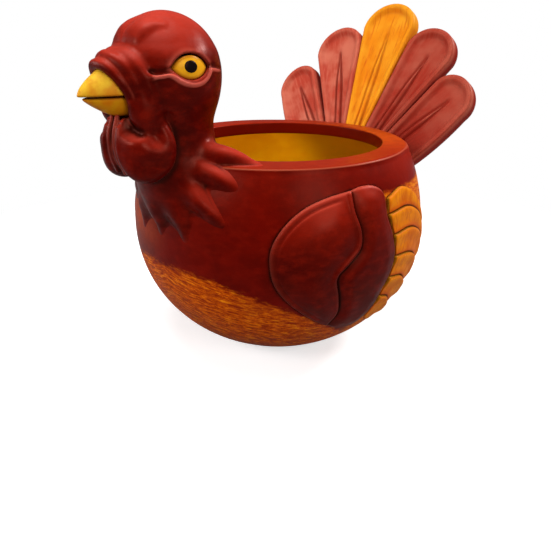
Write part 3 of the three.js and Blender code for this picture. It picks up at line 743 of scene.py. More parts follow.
CREASE_LINE = wing_line(WING_CREASE)
FRONT_OUTLINE = np.vstack([wing_line(WING_FRONT), CREASE_LINE[-2:0:-1]])
REAR_OUTLINE = np.vstack([wing_line(WING_REAR), CREASE_LINE[-2:0:-1]])
FLIGHT_LINES = [wing_line(edge) for edge in FLIGHT_EDGES]
WING_OUTLINE = np.vstack([FRONT_OUTLINE, REAR_OUTLINE])


def mapped_inset(outline, rounds=0):
    return mapped(lambda plan: -polygon(plan, outline), outline, rounds)


front_inset = mapped_inset(FRONT_OUTLINE)
rear_inset = mapped_inset(REAR_OUTLINE)
front_rounded = mapped_inset(FRONT_OUTLINE, LOBE_ROUNDS)
rear_rounded = mapped_inset(REAR_OUTLINE, LOBE_ROUNDS)
from_crease_line = mapped(lambda plan: distance_to_line(plan, CREASE_LINE), WING_OUTLINE)


def front_lobe_field(points):
    plan = points[:, :2]
    inset = front_inset(plan)
    from_crease = from_crease_line(plan)
    top = WING_EDGE_HEIGHT + WING_RISE * smooth_step(front_rounded(plan), 0, WING_RISE_WIDTH)
    upper = smooth_step(plan[:, 1], WING_MIDDLE[1] + BEAD_FROM, WING_MIDDLE[1] + BEAD_TO)
    top += upper * CREASE_BEAD * bell(from_crease - CREASE_BEAD_INSET, CREASE_BEAD_WIDTH)
    away = smooth_step(from_crease, RIM_LINE_FROM_CREASE, RIM_LINE_FULL)
    top -= away * RIM_LINE_DIP * bell(inset - RIM_LINE_INSET, RIM_LINE_WIDTH)
    return laid_field(points, inset, top, WING_EDGE_RADIUS)


def rear_lobe_field(points):
    plan = points[:, :2]
    inset = rear_inset(plan)
    from_crease = from_crease_line(plan)
    beside = smooth_step(from_crease, REAR_EDGE_FROM_CREASE, REAR_EDGE_FULL)
    top = WING_EDGE_HEIGHT + (REAR_EDGE_HEIGHT - WING_EDGE_HEIGHT) * beside
    top += REAR_RISE * smooth_step(rear_rounded(plan), 0, REAR_RISE_WIDTH)
    top -= CREASE_DIP * bell(from_crease, CREASE_DIP_WIDTH)
    return laid_field(points, inset, top, WING_EDGE_RADIUS)


def laid_field(points, inset, top, radius):
    """A relief with rounded edges, from just inside the body up to a height."""
    lift = points[:, 2]
    upper = smooth_max(lift - top, -inset, radius)
    return np.maximum(upper * LAID_SHRINK, -lift - LAID_DEPTH)


def flight_field(index):
    upper_line, lower_line = FLIGHT_LINES[index], FLIGHT_LINES[index + 1]
    outline = np.vstack([upper_line, lower_line[::-1]])
    inset_at = mapped_inset(outline)
    below_edge_at = mapped(lambda plan: distance_to_line(plan, upper_line), outline)

    def field(points):
        plan = points[:, :2]
        inset = inset_at(plan)
        below_edge = below_edge_at(plan)
        fall = smooth_step(below_edge, FEATHER_FLAT, FEATHER_SLOPE)
        top = FEATHER_HIGH + (FEATHER_LOW - FEATHER_HIGH) * fall
        return laid_field(points, inset + FEATHER_GROWN, top, FEATHER_EDGE_RADIUS)

    return field


FLIGHT_FIELDS = [flight_field(index) for index in range(len(FLIGHT_EDGES) - 1)]


# The tail fans out from a point inside the rear wall, leaning back

FAN_LEAN = 28.0
FAN_ROOT_RADIUS = 29.3
FAN_ROOT_DEPTH = 9.0
FAN_START = FAN_ROOT_RADIUS - FAN_ROOT_DEPTH
FAN_SPREAD = math.tan(math.radians(9.7))
FAN_LENGTH = 82.0
FAN_THICKNESS = 6.6
FAN_WIDEST_SHARE = 0.87
FAN_OVERLAP = 0.12
FAN_ROOT = np.array([
    0,
    RIM_RADIUS - FAN_ROOT_RADIUS * math.sin(math.radians(FAN_LEAN)),
    RIM_HEIGHT - FAN_ROOT_RADIUS * math.cos(math.radians(FAN_LEAN)),
])
# Each feather's turn in the fan and its share of the fan's length, by the node it stands for
TAIL_FEATHERS = {
    "tail_feather_right_outer": (-43.0, 0.842),
    "tail_feather_right_inner": (-21.1, 0.934),
    "tail_feather_centre": (-1.1, 1.012),
    "tail_feather_left_inner": (19.5, 0.927),
    "tail_feather_left_outer": (40.6, 0.824),
}
YELLOW_FEATHERS = ("tail_feather_centre",)
TAIL_STEP = 0.4
# The outermost feathers swell on their outer side towards the root
SWELL_FROM_TURN = 30.0
SWELL = 7.6
SIDE_PLACES = 15
TIP_PLACES = 19
# The front is dished inside a narrow rim
DISH_DEPTH = 1.7
DISH_INSET = 1.3
DISH_WIDTH = 2.8
# The quill is a slender raised spindle between two grooves that meet at its upper end
QUILL_OPENS_OVER = 0.26
QUILL_TO_SHARE = 0.87
QUILL_HALF_WIDTH = 1.25
QUILL_GROOVE = 0.8
QUILL_GROOVE_WIDTH = 0.75
QUILL_RISE = 0.5
# Shares of the length and widths over which the quill and its grooves set in and fade
QUILL_END_SHARE = 0.02
QUILL_FADE_SHARE = 0.05
QUILL_LEAST_OPEN = -0.03
QUILL_BACK_OFF = -0.6
QUILL_FULL = 0.9
# Shallow folds that open towards the root on both sides of the quill
FOLD_SHARE = 0.56
FOLD_DEPTH = 0.6
FOLD_WIDTH = 0.9
FOLD_TO_SHARE = 0.72
FOLD_FADE_SHARE = 0.25
# How strongly the folds take the painted shade of the quill's grooves
FOLD_DARKNESS = 0.5
FRONT_EDGE_RADIUS = 1.1
BACK_EDGE_RADIUS = 3.0


def petal_outline(length, swell):
    """A tail feather's outline, with its outer side swollen by some millimetres at the root."""
    widest = FAN_WIDEST_SHARE * length
    radii = np.linspace(FAN_START, widest, SIDE_PLACES)
    angles = np.linspace(0, math.pi / 2, TIP_PLACES)
    side_x = radii[:-1] * FAN_SPREAD + FAN_OVERLAP
    swollen = side_x + swell * (1 - np.linspace(0, 1, SIDE_PLACES)[:-1] ** 2)
    tip_x = (widest * FAN_SPREAD + FAN_OVERLAP) * np.cos(angles)
    tip_y = widest + (length - widest) * np.sin(angles)
    rise = np.append(radii[:-1], tip_y)
    outer = np.stack([np.append(swollen, tip_x), rise], 1)
    inner = np.stack([-np.append(side_x, tip_x), rise], 1)
    return np.vstack([outer, inner[-2::-1]])


def petal_lines(points, length):
    """How much each place lies in the quill's grooves, on the quill, and in the folds beside it."""
    share = points[:, 2] / length
    side = np.abs(points[:, 0])
    open_share = smooth_step(QUILL_TO_SHARE - share, QUILL_LEAST_OPEN, QUILL_OPENS_OVER)
    within = smooth_step(QUILL_TO_SHARE + QUILL_END_SHARE - share, 0, QUILL_FADE_SHARE)
    half = QUILL_HALF_WIDTH * open_share
    groove = within * bell(side - half, QUILL_GROOVE_WIDTH)
    quill = within * smooth_step(half - side, QUILL_BACK_OFF, QUILL_FULL)
    fold_side = points[:, 2] * FAN_SPREAD * FOLD_SHARE
    fold = smooth_step(FOLD_TO_SHARE - share, 0, FOLD_FADE_SHARE) * bell(side - fold_side, FOLD_WIDTH)
    return groove, quill, fold


def petal_field(angle, length):
    outline = petal_outline(length, SWELL if angle > SWELL_FROM_TURN else 0)
    inset_at = mapped_inset(outline)
    turn = math.radians(angle)
    lean = math.radians(FAN_LEAN)

    def in_part(points):
        x = points[:, 0] * math.cos(turn) + points[:, 2] * math.sin(turn)
        z = points[:, 2] * math.cos(turn) - points[:, 0] * math.sin(turn)
        y = points[:, 1] * math.cos(lean) + z * math.sin(lean)
        up = z * math.cos(lean) - points[:, 1] * math.sin(lean)
        return np.stack([x, y, up], 1) + FAN_ROOT

    def field(points):
        depth = points[:, 1]
        inset = inset_at(points[:, [0, 2]])
        face = DISH_DEPTH * smooth_step(inset, DISH_INSET, DISH_INSET + DISH_WIDTH)
        groove, quill, fold = petal_lines(points, length)
        face += QUILL_GROOVE * groove - QUILL_RISE * quill + FOLD_DEPTH * fold
        front = smooth_max(-inset, face - depth, FRONT_EDGE_RADIUS)
        whole = smooth_max(front, depth - FAN_THICKNESS, BACK_EDGE_RADIUS)
        return np.maximum(whole * PETAL_SHRINK, -(body_field(in_part(points)) + SEAT))

    return field


# Node trees written as expressions

def operators(operation):
    """An operation on a value and a number or another value, in both orders."""
    def forward(self, other):
        return self.graph.maths(operation, self, other)

    def backward(self, other):
        return self.graph.maths(operation, other, self)

    return forward, backward


class Value:
    """A socket that sums and products can be written with."""

    def __init__(self, graph, socket):
        self.graph = graph
        self.socket = socket

    __add__, __radd__ = operators("ADD")
    __sub__, __rsub__ = operators("SUBTRACT")
    __mul__, __rmul__ = operators("MULTIPLY")
    __truediv__, __rtruediv__ = operators("DIVIDE")
    __pow__, __rpow__ = operators("POWER")


class Graph:
    """A node tree, and the few ways in which this script adds nodes to it."""

    def __init__(self, tree):
        self.tree = tree

    def feed(self, socket, value):
        if isinstance(value, Value):
            self.tree.links.new(value.socket, socket)
        else:
            socket.default_value = value

    def add(self, kind, values=None, output=0, **settings):
        """Adds a node: its settings first, then its sockets by identifier or place. Gives one output."""
        node = self.tree.nodes.new(kind)
        for name, setting in settings.items():
            setattr(node, name, setting)
        by_identifier = {socket.identifier: socket for socket in node.inputs}
        for key, value in (values or {}).items():
            socket = node.inputs[key] if isinstance(key, int) else by_identifier[key]
            self.feed(socket, value)
        if isinstance(output, str):
            chosen = {socket.identifier: socket for socket in node.outputs}[output]
            return Value(self, chosen)
        return Value(self, node.outputs[output]) if len(node.outputs) else node

    def maths(self, operation, *numbers):
        return self.add("ShaderNodeMath", dict(enumerate(numbers)), operation=operation)

    def vector_maths(self, operation, *vectors, output=0):
        return self.add("ShaderNodeVectorMath", dict(enumerate(vectors)), output, operation=operation)

    def combine(self, x, y, z):
        return self.add("ShaderNodeCombineXYZ", {0: x, 1: y, 2: z})

    def separate(self, vector):
        split = self.add("ShaderNodeSeparateXYZ", {0: vector})
        return [Value(self, socket) for socket in split.socket.node.outputs]

    def ramp(self, value, low, high, to_low=0.0, to_high=1.0):
        """A smooth step from one value to another."""
        values = {0: value, 1: low, 2: high, 3: to_low, 4: to_high}
        return self.add("ShaderNodeMapRange", values, interpolation_type="SMOOTHSTEP")

    def mix(self, share, first, second):
        settings = {"data_type": "RGBA", "blend_type": "MIX", "clamp_factor": True}
        values = {"Factor_Float": share, "A_Color": first, "B_Color": second}
        return self.add("ShaderNodeMix", values, "Result_Color", **settings)

    def noise(self, place, scale, detail, roughness=0.5, distortion=0.0):
        values = {"Vector": place, "Scale": scale, "Detail": detail, "Roughness": roughness}
        values["Distortion"] = distortion
        return self.add("ShaderNodeTexNoise", values)

    def patches(self, place, settings, low, high):
        """A noise whose values between two levels are spread from 0 to 1."""
        return self.ramp(self.noise(place, *settings), low, high)

    def stretched(self, place, factors):
        return self.vector_maths("MULTIPLY", place, factors)

    def scaled(self, vector, factor):
        return self.vector_maths("SCALE", vector, (0, 0, 0), (0, 0, 0), factor)

    def turned(self, vector, axis, angle):
        values = {"Vector": vector, "Angle": angle}
        return self.add("ShaderNodeVectorRotate", values, rotation_type=axis)


def colour(red, green, blue):
    """A colour as it shows on screen, from 0 to 255, as light."""
    light = [
        level / 3294.6 if level < 10.3 else ((level / 255 + 0.055) / 1.055) ** 2.4
        for level in (red, green, blue)
    ]
    return (*light, 1.0)


# Paints

RED = colour(98, 5, 0)
DEEP_RED = colour(74, 2, 0)
BOWL_RED = colour(120, 9, 1)
BRIGHT_RED = colour(172, 32, 12)
# Painted light on what faces up, painted highlights on ridges and along the lower lid, a painted sheen on
# the breast, and painted shade in hollows
LIT_RED = colour(214, 66, 48)
EDGE_HIGHLIGHT_PINK = colour(214, 88, 68)
LID_HIGHLIGHT_PINK = colour(236, 110, 92)
# A painted sheen on the breast
BREAST_SHEEN = colour(192, 76, 28)
HOLLOW_SHADE_RED = colour(44, 3, 0)
RIM_RED = colour(162, 37, 10)
RIM_ORANGE = colour(206, 80, 14)
LIP_RED = colour(108, 14, 1)
AMBER = colour(220, 90, 0)
AMBER_LIGHT = colour(255, 154, 8)
AMBER_DARK = colour(150, 40, 0)
YELLOW = colour(255, 150, 6)
# A painted highlight on yellow raised edges
YELLOW_HIGHLIGHT = colour(255, 172, 34)
TAIL_YELLOW = colour(238, 136, 16)
TAIL_YELLOW_LIGHT = colour(248, 164, 36)
# Painted shade along the tail feathers' grooves, on the yellow one and on the red ones
TAIL_GROOVE_SHADE_BROWN = colour(176, 84, 6)
TAIL_GROOVE_SHADE_RED = colour(82, 8, 4)
TAIL_DEEP_RED = colour(146, 34, 22)
TAIL_SIDE_RED = colour(146, 28, 14)
# A painted highlight on the red tail feathers' edges
TAIL_EDGE_HIGHLIGHT = colour(226, 120, 94)
ORANGE = colour(216, 86, 4)
# Painted shade in grooves and creases, and along the mouth
GROOVE_SHADE_BROWN = colour(96, 34, 2)
OCHRE = colour(250, 196, 10)
OCHRE_DARK = colour(240, 176, 6)
OCHRE_SHADED = colour(172, 122, 4)
DUSTY_RED = colour(190, 68, 50)
DUSTY_PINK = colour(212, 114, 90)
EYE_YELLOW = colour(255, 180, 26)
BEAK_YELLOW = colour(255, 204, 56)
BEAK_OCHRE = colour(222, 148, 12)
EYE_OCHRE = colour(236, 158, 24)
EYE_RIM_BROWN = colour(150, 70, 10)
PUPIL_BLACK = colour(20, 18, 18)
PUPIL_DEEP_BLACK = colour(12, 10, 10)
UMBER = colour(76, 22, 4)
# Painted shade in the tail feathers' hollows
TAIL_FOLD_SHADE_RED = colour(84, 12, 6)
TAIL_FOLD_SHADE_BROWN = colour(170, 84, 8)
AMBER_BROWN = colour(150, 60, 12)
RIM_STAIN = colour(140, 26, 14)
# A painted highlight on the rim's outer edge
RIM_EDGE_HIGHLIGHT = colour(226, 120, 84)

EYE_ROUGHNESS = 0.3
BEAK_ROUGHNESS = 0.4
RED_TAIL_ROUGHNESS = 0.42
YELLOW_TAIL_ROUGHNESS = 0.44
FEATHER_ROUGHNESS = 0.46
SATIN_ROUGHNESS = 0.36
# Values of a noise between which a patchy coat turns from smoother to rougher
SHEEN_SPAN = (0.3, 0.7)
SATIN_SPECULAR = 0.15
# The coat takes a warm tone from the paint below it, and shows brighter glints on the head
SHEEN_TINT = (1.0, 0.36, 0.24, 1.0)
HEAD_SPECULAR = 0.2
EYE_SPECULAR = 0.25
FEATHER_SPECULAR = 0.09
BOWL_SPECULAR = 0.12
GLINT_TINT = (1.0, 0.34, 0.24, 1.0)
YELLOW_SHEEN_TINT = (1.0, 0.64, 0.25, 1.0)
BUMP_DISTANCE = 0.12 * MM

# Scale, detail, roughness and distortion of each noise in the paints and in their relief
GRAIN_NOISE = (1.3, 2.0)
DENT_NOISE = (0.22, 2.0)
SHEEN_NOISE = (0.4, 3.0)
RED_NOISE = (0.07, 4.0, 0.6)
STROKE_NOISE = (0.4, 4.0, 0.6)
MAROON_NOISE = (0.16, 5.0, 0.68, 0.6)
WING_STAIN_NOISE = (0.09, 2.0)
FEATHER_NOISE = (0.12, 3.0)
FEATHER_STREAK_NOISE = (0.75, 4.0, 0.65, 0.6)
TAIL_NOISE = (0.1, 3.0)
TAIL_STREAK_NOISE = (1.0, 4.0, 0.6)
EYE_NOISE = (0.5, 3.0)
PUPIL_NOISE = (1.5, 3.0)
BEAK_NOISE = (0.28, 3.0)
SCUFF_NOISE = (1.0, 6.0, 0.7, 0.8)
AMBER_STREAK_NOISE = (1.0, 6.0, 0.7, 0.7)
AMBER_GRAIN_NOISE = (0.8, 4.0, 0.7)
AMBER_CLOUD_NOISE = (0.07, 2.0)
BORDER_NOISE = (1.0, 4.0, 0.65)
RIM_NOISE = (0.3, 3.0)
OCHRE_NOISE = (0.08, 3.0)

# Heights of the marks in the coat, and how strongly they show
GRAIN_HEIGHT = 0.35
DENT_HEIGHT = 1.3
FEATHER_STREAK_HEIGHT = 0.8
TAIL_STREAK_HEIGHT = 1.2
AMBER_STREAK_HEIGHT = 2.2
MARK_STRENGTH = 0.5
SMOOTH_STRENGTH = 0.3
FEATHER_STRENGTH = 0.7


class Paint(Graph):
    """A material's nodes, with places on its piece in a unit, a millimetre of the part unless given."""

    def __init__(self, name, unit=MM):
        self.material = bpy.data.materials.new(name)
        self.material.use_nodes = True
        super().__init__(self.material.node_tree)
        self.tree.nodes.clear()
        self.place = self.scaled(self.add("ShaderNodeTexCoord", output="Object"), 1 / unit)
        self.read = {}

    def attribute(self, name):
        if name not in self.read:
            self.read[name] = self.add("ShaderNodeAttribute", output="Fac", attribute_name=name)
        return self.read[name]

    def upward(self):
        """How far the surface faces up, which the paints use for painted light and painted highlights on
        what faces up.
        """
        normal = self.add("ShaderNodeNewGeometry", output="Normal")
        return self.separate(normal)[2]

    def layers(self, base, *rows):
        """A colour with others brushed over it in turn.

        A row is a share and a colour. Or it is what the share is read from, the values of it where
        the colour sets in and where it is full, its strength there, and the colour.
        """
        for share, *span, over in rows:
            if span:
                low, high, strength = span
                share = self.ramp(share, low, high) * strength
            base = self.mix(share, base, over)
        return base

    def patchy_roughness(self, less, more):
        tone = self.noise(self.place, *SHEEN_NOISE)
        return self.ramp(tone, *SHEEN_SPAN, SATIN_ROUGHNESS - less, SATIN_ROUGHNESS + more)

    def coat(
        self, base, roughness, more=None, strength=MARK_STRENGTH, specular=SATIN_SPECULAR, tint=SHEEN_TINT
    ):
        """The satin coat that all the paints share, with the marks of the brush and more as relief."""
        grain = self.noise(self.place, *GRAIN_NOISE) * GRAIN_HEIGHT
        relief = grain + self.noise(self.place, *DENT_NOISE) * DENT_HEIGHT
        if more:
            relief = relief + more
        marks = {"Strength": strength, "Distance": BUMP_DISTANCE, "Height": relief}
        coat = {"Base Color": base, "Roughness": roughness, "Specular IOR Level": specular}
        coat["Specular Tint"] = tint
        coat["Normal"] = self.add("ShaderNodeBump", marks)
        shader = self.add("ShaderNodeBsdfPrincipled", coat)
        self.add("ShaderNodeOutputMaterial", {"Surface": shader})
        return self.material


def red_base(paint, lit=1.0):
    """Scarlet over maroon, patchy, with painted shade in the hollows, painted highlights along ridges and
    painted light on what faces up.
    """
    place, upward = paint.place, paint.upward()
    patches = paint.patches(place, RED_NOISE, 0.36, 0.68)
    strokes = paint.noise(paint.stretched(place, (0.5, 0.5, 1.0)), *STROKE_NOISE)
    painted_top_light = paint.ramp(upward, 0.3, 1.0) * (0.65 + 0.35 * patches)
    return paint.layers(
        DEEP_RED,
        (patches, RED),
        (strokes, 0.4, 0.75, 0.3, BRIGHT_RED),
        (paint.noise(place, *MAROON_NOISE), 0.42, 0.62, 0.45, DEEP_RED),
        # Painted light: what faces up is brushed brighter, and lighter still in patches
        (upward, -0.05, 0.75, 0.5 * lit, BRIGHT_RED),
        (painted_top_light * (0.75 * lit), LIT_RED),
        # Painted shade in the hollows, then painted highlights along the ridges
        (paint.attribute("hollow"), 0.1, 0.6, 1, HOLLOW_SHADE_RED),
        (paint.attribute("ridge"), 0.35, 0.8, 0.35, EDGE_HIGHLIGHT_PINK),
    )


def red_material():
    paint = Paint("scarlet_paint")
    # A painted highlight along the ridge of the lower lid
    base = paint.layers(red_base(paint), (paint.attribute("lid"), 0.25, 1.0, 0.55, LID_HIGHLIGHT_PINK))
    roughness = paint.patchy_roughness(0.08, 0.06)
    return paint.coat(base, roughness, specular=HEAD_SPECULAR, tint=GLINT_TINT)


def wing_material():
    paint = Paint("maroon_wing_paint")
    height = paint.separate(paint.place)[2]
    stains = paint.patches(paint.place, WING_STAIN_NOISE, 0.4, 0.7) * (1 - paint.ramp(height, 20, 50))
    base = paint.layers(
        red_base(paint),
        # Painted light: brighter towards the top, with painted highlights on what faces up
        (height, 45, 74, 0.25, BRIGHT_RED),
        (paint.upward(), 0.4, 0.85, 0.45, EDGE_HIGHLIGHT_PINK),
        (stains * 0.4, UMBER),
    )
    return paint.coat(base, paint.patchy_roughness(0.05, 0.08))


def feather_material():
    """Yellow dry-brushed over orange, with painted shade in the grooves and painted highlights on the raised
    edges.
    """
    paint = Paint("amber_feather_paint")
    hollow = paint.attribute("hollow")
    streaks = paint.noise(paint.stretched(paint.place, (1.0, 1.0, 0.3)), *FEATHER_STREAK_NOISE)
    base = paint.layers(
        YELLOW,
        (paint.noise(paint.place, *FEATHER_NOISE), 0.36, 0.68, 0.6, ORANGE),
        (streaks, 0.42, 0.66, 0.6, ORANGE),
        # Painted shade between the feathers: orange at its edge, brown deeper in
        (hollow, 0.04, 0.3, 0.8, ORANGE),
        (hollow, 0.2, 0.6, 1, GROOVE_SHADE_BROWN),
        # Painted highlights on the raised edges
        (paint.attribute("ridge"), 0.3, 0.75, 0.5, YELLOW_HIGHLIGHT),
    )
    relief = streaks * FEATHER_STREAK_HEIGHT
    sheen = FEATHER_STRENGTH, FEATHER_SPECULAR, YELLOW_SHEEN_TINT
    return paint.coat(base, FEATHER_ROUGHNESS, relief, *sheen)


def tail_paint(name, dull, bright, dark):
    """Paint dry-brushed along a tail feather, by its own length, width and depth from its attributes."""
    paint = Paint(name)
    along, across = paint.attribute("along"), paint.attribute("across")
    brushed = paint.noise(paint.combine(across * 0.9, along * 0.09, 0.0), *TAIL_STREAK_NOISE)
    front = 1 - paint.ramp(paint.attribute("depth"), 2.4, 3.4)
    # Painted shade along the quill's grooves and the folds beside it, on the front only
    lines = paint.ramp(paint.attribute("lines"), 0.25, 0.95) * front
    base = paint.layers(
        dull,
        (paint.noise(paint.place, *TAIL_NOISE), 0.35, 0.68, 1, bright),
        (brushed, 0.45, 0.7, 0.5, bright),
        (lines * 0.48, dark),
    )
    return paint, brushed, base


def red_tail_material():
    paint, brushed, base = tail_paint("dusty_red_tail_paint", DUSTY_RED, DUSTY_PINK, TAIL_GROOVE_SHADE_RED)
    sideways = paint.ramp(paint.separate(paint.place)[0], -20, 25)
    rootward = paint.ramp(paint.attribute("along"), 62, 34)
    base = paint.layers(
        base,
        (sideways * (0.55 + 0.35 * rootward), TAIL_DEEP_RED),
        (paint.attribute("depth"), 1.8, 2.8, 0.9, TAIL_SIDE_RED),
        # Painted shade in the hollows, and painted highlights along the edges
        (paint.attribute("hollow"), 0.14, 0.6, 0.8, TAIL_FOLD_SHADE_RED),
        (paint.attribute("ridge"), 0.3, 0.65, 0.35, TAIL_EDGE_HIGHLIGHT),
    )
    return paint.coat(base, RED_TAIL_ROUGHNESS, brushed * TAIL_STREAK_HEIGHT)


def yellow_tail_material():
    paint, brushed, base = tail_paint("yellow_tail_paint", TAIL_YELLOW, TAIL_YELLOW_LIGHT, TAIL_GROOVE_SHADE_BROWN)
    base = paint.layers(
        base,
        (brushed, 0.5, 0.7, 0.8, ORANGE),
        # Painted shade in the hollows
        (paint.attribute("hollow"), 0.14, 0.6, 0.8, TAIL_FOLD_SHADE_BROWN),
        # Painted highlights along the raised edges
        (paint.attribute("ridge"), 0.2, 0.6, 0.5, YELLOW_HIGHLIGHT),
    )
    relief = brushed * TAIL_STREAK_HEIGHT
    return paint.coat(base, YELLOW_TAIL_ROUGHNESS, relief, tint=YELLOW_SHEEN_TINT)


def eye_material():
    paint = Paint("eye_yellow_paint")
    base = paint.layers(
        EYE_YELLOW,
        (paint.noise(paint.place, *EYE_NOISE), 0.35, 0.7, 0.6, EYE_OCHRE),
        (paint.attribute("rim"), -1.1, 0.0, 0.75, EYE_RIM_BROWN),
    )
    return paint.coat(base, EYE_ROUGHNESS, None, SMOOTH_STRENGTH, EYE_SPECULAR, YELLOW_SHEEN_TINT)


def pupil_material():
    paint = Paint("pupil_black_paint")
    specks = paint.noise(paint.place, *PUPIL_NOISE)
    base = paint.layers(PUPIL_DEEP_BLACK, (specks, 0.3, 0.75, 1, PUPIL_BLACK))
    return paint.coat(base, EYE_ROUGHNESS, strength=SMOOTH_STRENGTH)


def beak_material():
    paint = Paint("beak_yellow_paint")
    _, y, z = paint.separate(paint.place)
    mouth = 1 - paint.ramp(paint.maths("ABSOLUTE", z - MOUTH_HEIGHT), 0.1, 0.9)
    base = paint.layers(
        BEAK_OCHRE,
        (z, MOUTH_HEIGHT - 2, MOUTH_HEIGHT + 5, 1, BEAK_YELLOW),
        (paint.noise(paint.place, *BEAK_NOISE), 0.34, 0.7, 0.5, ORANGE),
        # Painted shade along the mouth, between the beak's halves
        (mouth * 0.8, GROOVE_SHADE_BROWN),
        (y, -70, -63, 0.35, ORANGE),
    )
    return paint.coat(base, BEAK_ROUGHNESS, tint=YELLOW_SHEEN_TINT)


# Heights and azimuths of the painted borders on the bowl
BELLY_LINE = 42.7
BELLY_LINE_FALL = 0.0466
BELLY_LINE_POWER = 1.526
BELLY_LINE_FROM = 12.0
REAR_LINE = 67.5
REAR_FROM = 72.0
REAR_TO = 84.0
# How far the borders wander, and half the width over which they fade, in millimetres
RAGGED_REACH = 7
BELLY_FADE = 1.4
REAR_FADE = 1.0
# The brush ran down a little from front to back: the fall for each millimetre round
STROKE_SLANT = 0.16


def bowl_material():
    """Red above and amber below and behind, with its own paint on the rim, the lip and the inside."""
    paint = Paint("bowl_paint")
    place = paint.place
    x, y, z = paint.separate(place)
    hollow, zone = paint.attribute("hollow"), paint.attribute("zone")
    azimuth = paint.maths("ABSOLUTE", paint.maths("ARCTAN2", x, 0 - y)) * math.degrees(1)
    along = azimuth * (math.radians(1) * BELLY_RADIUS)

    scuffs = paint.patches(paint.combine(along * 0.11, z * 0.16, 0.0), SCUFF_NOISE, 0.38, 0.7)
    # Painted sheen: the breast's side towards the bird's right is brushed a lighter brown, as glancing light
    # shows there
    breast = paint.ramp(x, 6, -18) * paint.ramp(azimuth, 75, 45) * paint.ramp(z, 40, 58)
    red = paint.layers(
        red_base(paint, 0.35),
        # Lighter red in random patches, held back where the bust and wings crowd the bowl, which leaves
        # painted shade there
        (0.3 + scuffs * 0.4 - hollow * 0.5, BOWL_RED),
        # Painted light: brighter high on the sides and at the back, where the light falls
        (paint.ramp(z, 60, 76) * paint.ramp(azimuth, 80, 110) * 0.55, BRIGHT_RED),
        (breast * (0.45 + scuffs * 0.4), BREAST_SHEEN),
    )

    fallen = paint.maths("MAXIMUM", azimuth - BELLY_LINE_FROM, 0.0) ** BELLY_LINE_POWER
    belly_line = BELLY_LINE - fallen * BELLY_LINE_FALL
    slant = z + along * STROKE_SLANT
    broad = paint.noise(paint.combine(along * 0.22, slant * 1.3, y * 0.02), *AMBER_STREAK_NOISE)
    streaks = broad * 0.8 + paint.noise(place, *AMBER_GRAIN_NOISE) * 0.2
    wander = paint.noise(paint.combine(along * 0.25, slant * 0.5, 0.0), *BORDER_NOISE)
    ragged = (wander - 0.5) * RAGGED_REACH
    below = 1 - paint.ramp(z - belly_line + ragged, -BELLY_FADE, BELLY_FADE)
    under_rim = 1 - paint.ramp(z + ragged * 0.3, REAR_LINE - REAR_FADE, REAR_LINE + REAR_FADE)
    rear = paint.ramp(azimuth, REAR_FROM, REAR_TO) * under_rim
    amber_share = paint.maths("MAXIMUM", below, rear)
    amber = paint.layers(
        AMBER_DARK,
        (streaks, 0.4, 0.55, 1, AMBER),
        (streaks, 0.51, 0.67, 1, AMBER_LIGHT),
        (paint.noise(place, *AMBER_CLOUD_NOISE), 0.4, 0.7, 0.35, AMBER_BROWN),
        (rear * 0.75, paint.layers(ORANGE, (streaks, 0.4, 0.65, 1, YELLOW))),
        # Painted shade round the wings and feathers
        (hollow, 0.12, 0.6, 1, GROOVE_SHADE_BROWN),
    )

    warm = paint.ramp(azimuth, 95, 150) * paint.ramp(x, -30, 25)
    stains = paint.noise(place, *RIM_NOISE)
    rim = paint.layers(RIM_RED, (warm, RIM_ORANGE), (stains, 0.4, 0.7, 0.35, RIM_STAIN))
    shaded = paint.ramp(x, -30, -12) * paint.ramp(y, 0, 20) * 0.9
    patches = paint.noise(place, *OCHRE_NOISE)
    ochre = paint.layers(OCHRE_DARK, (patches, 0.36, 0.66, 1, OCHRE), (shaded, OCHRE_SHADED))

    # A painted highlight along the rounded outer edge of the rim
    edge = 1 - paint.ramp(paint.maths("ABSOLUTE", zone - 0.5), 0.0, 0.25)
    base = paint.layers(
        red,
        (amber_share, amber),
        (zone, 0.35, 0.9, 1, rim),
        (edge * 0.35, RIM_EDGE_HIGHLIGHT),
        (zone, 1.4, 1.8, 1, LIP_RED),
        (zone, 2.4, 2.6, 1, ochre),
    )
    roughness = SATIN_ROUGHNESS + 0.1 * amber_share
    return paint.coat(base, roughness, streaks * amber_share * AMBER_STREAK_HEIGHT, specular=BOWL_SPECULAR)


# Geometry node trees, each with named inputs, set by identifier

def new_tree(name, inputs):
    """A tree with a geometry in and out and named inputs. Gives its graph and its inputs by name."""
    tree = bpy.data.node_groups.new(name, "GeometryNodeTree")
    tree.interface.new_socket("Geometry", in_out="INPUT", socket_type="NodeSocketGeometry")
    for label, kind in inputs.items():
        tree.interface.new_socket(label, in_out="INPUT", socket_type=kind)
    tree.interface.new_socket("Geometry", in_out="OUTPUT", socket_type="NodeSocketGeometry")
    graph = Graph(tree)
    source = tree.nodes.new("NodeGroupInput")
    given = {socket.name: Value(graph, socket) for socket in source.outputs if socket.name}
    return graph, given


def close_tree(graph, geometry, material):
    real = graph.add("GeometryNodeRealizeInstances", {"Geometry": geometry})
    painted = graph.add("GeometryNodeSetMaterial", {"Geometry": real, "Material": material})
    graph.add("NodeGroupOutput", {0: painted})
    return graph.tree


def grown(tree, source, values):
    """The plain mesh that a tree makes from a source mesh."""
    carrier = in_scene("carrier", source)
    modifier = carrier.modifiers.new("shape", "NODES")
    modifier.node_group = tree
    for item in tree.interface.items_tree:
        if item.in_out == "INPUT" and item.name in values:
            modifier[item.identifier] = values[item.name]
    graph = bpy.context.evaluated_depsgraph_get()
    mesh = bpy.data.meshes.new_from_object(carrier.evaluated_get(graph))
    carrier.modifiers.clear()
    bpy.data.objects.remove(carrier)
    return mesh


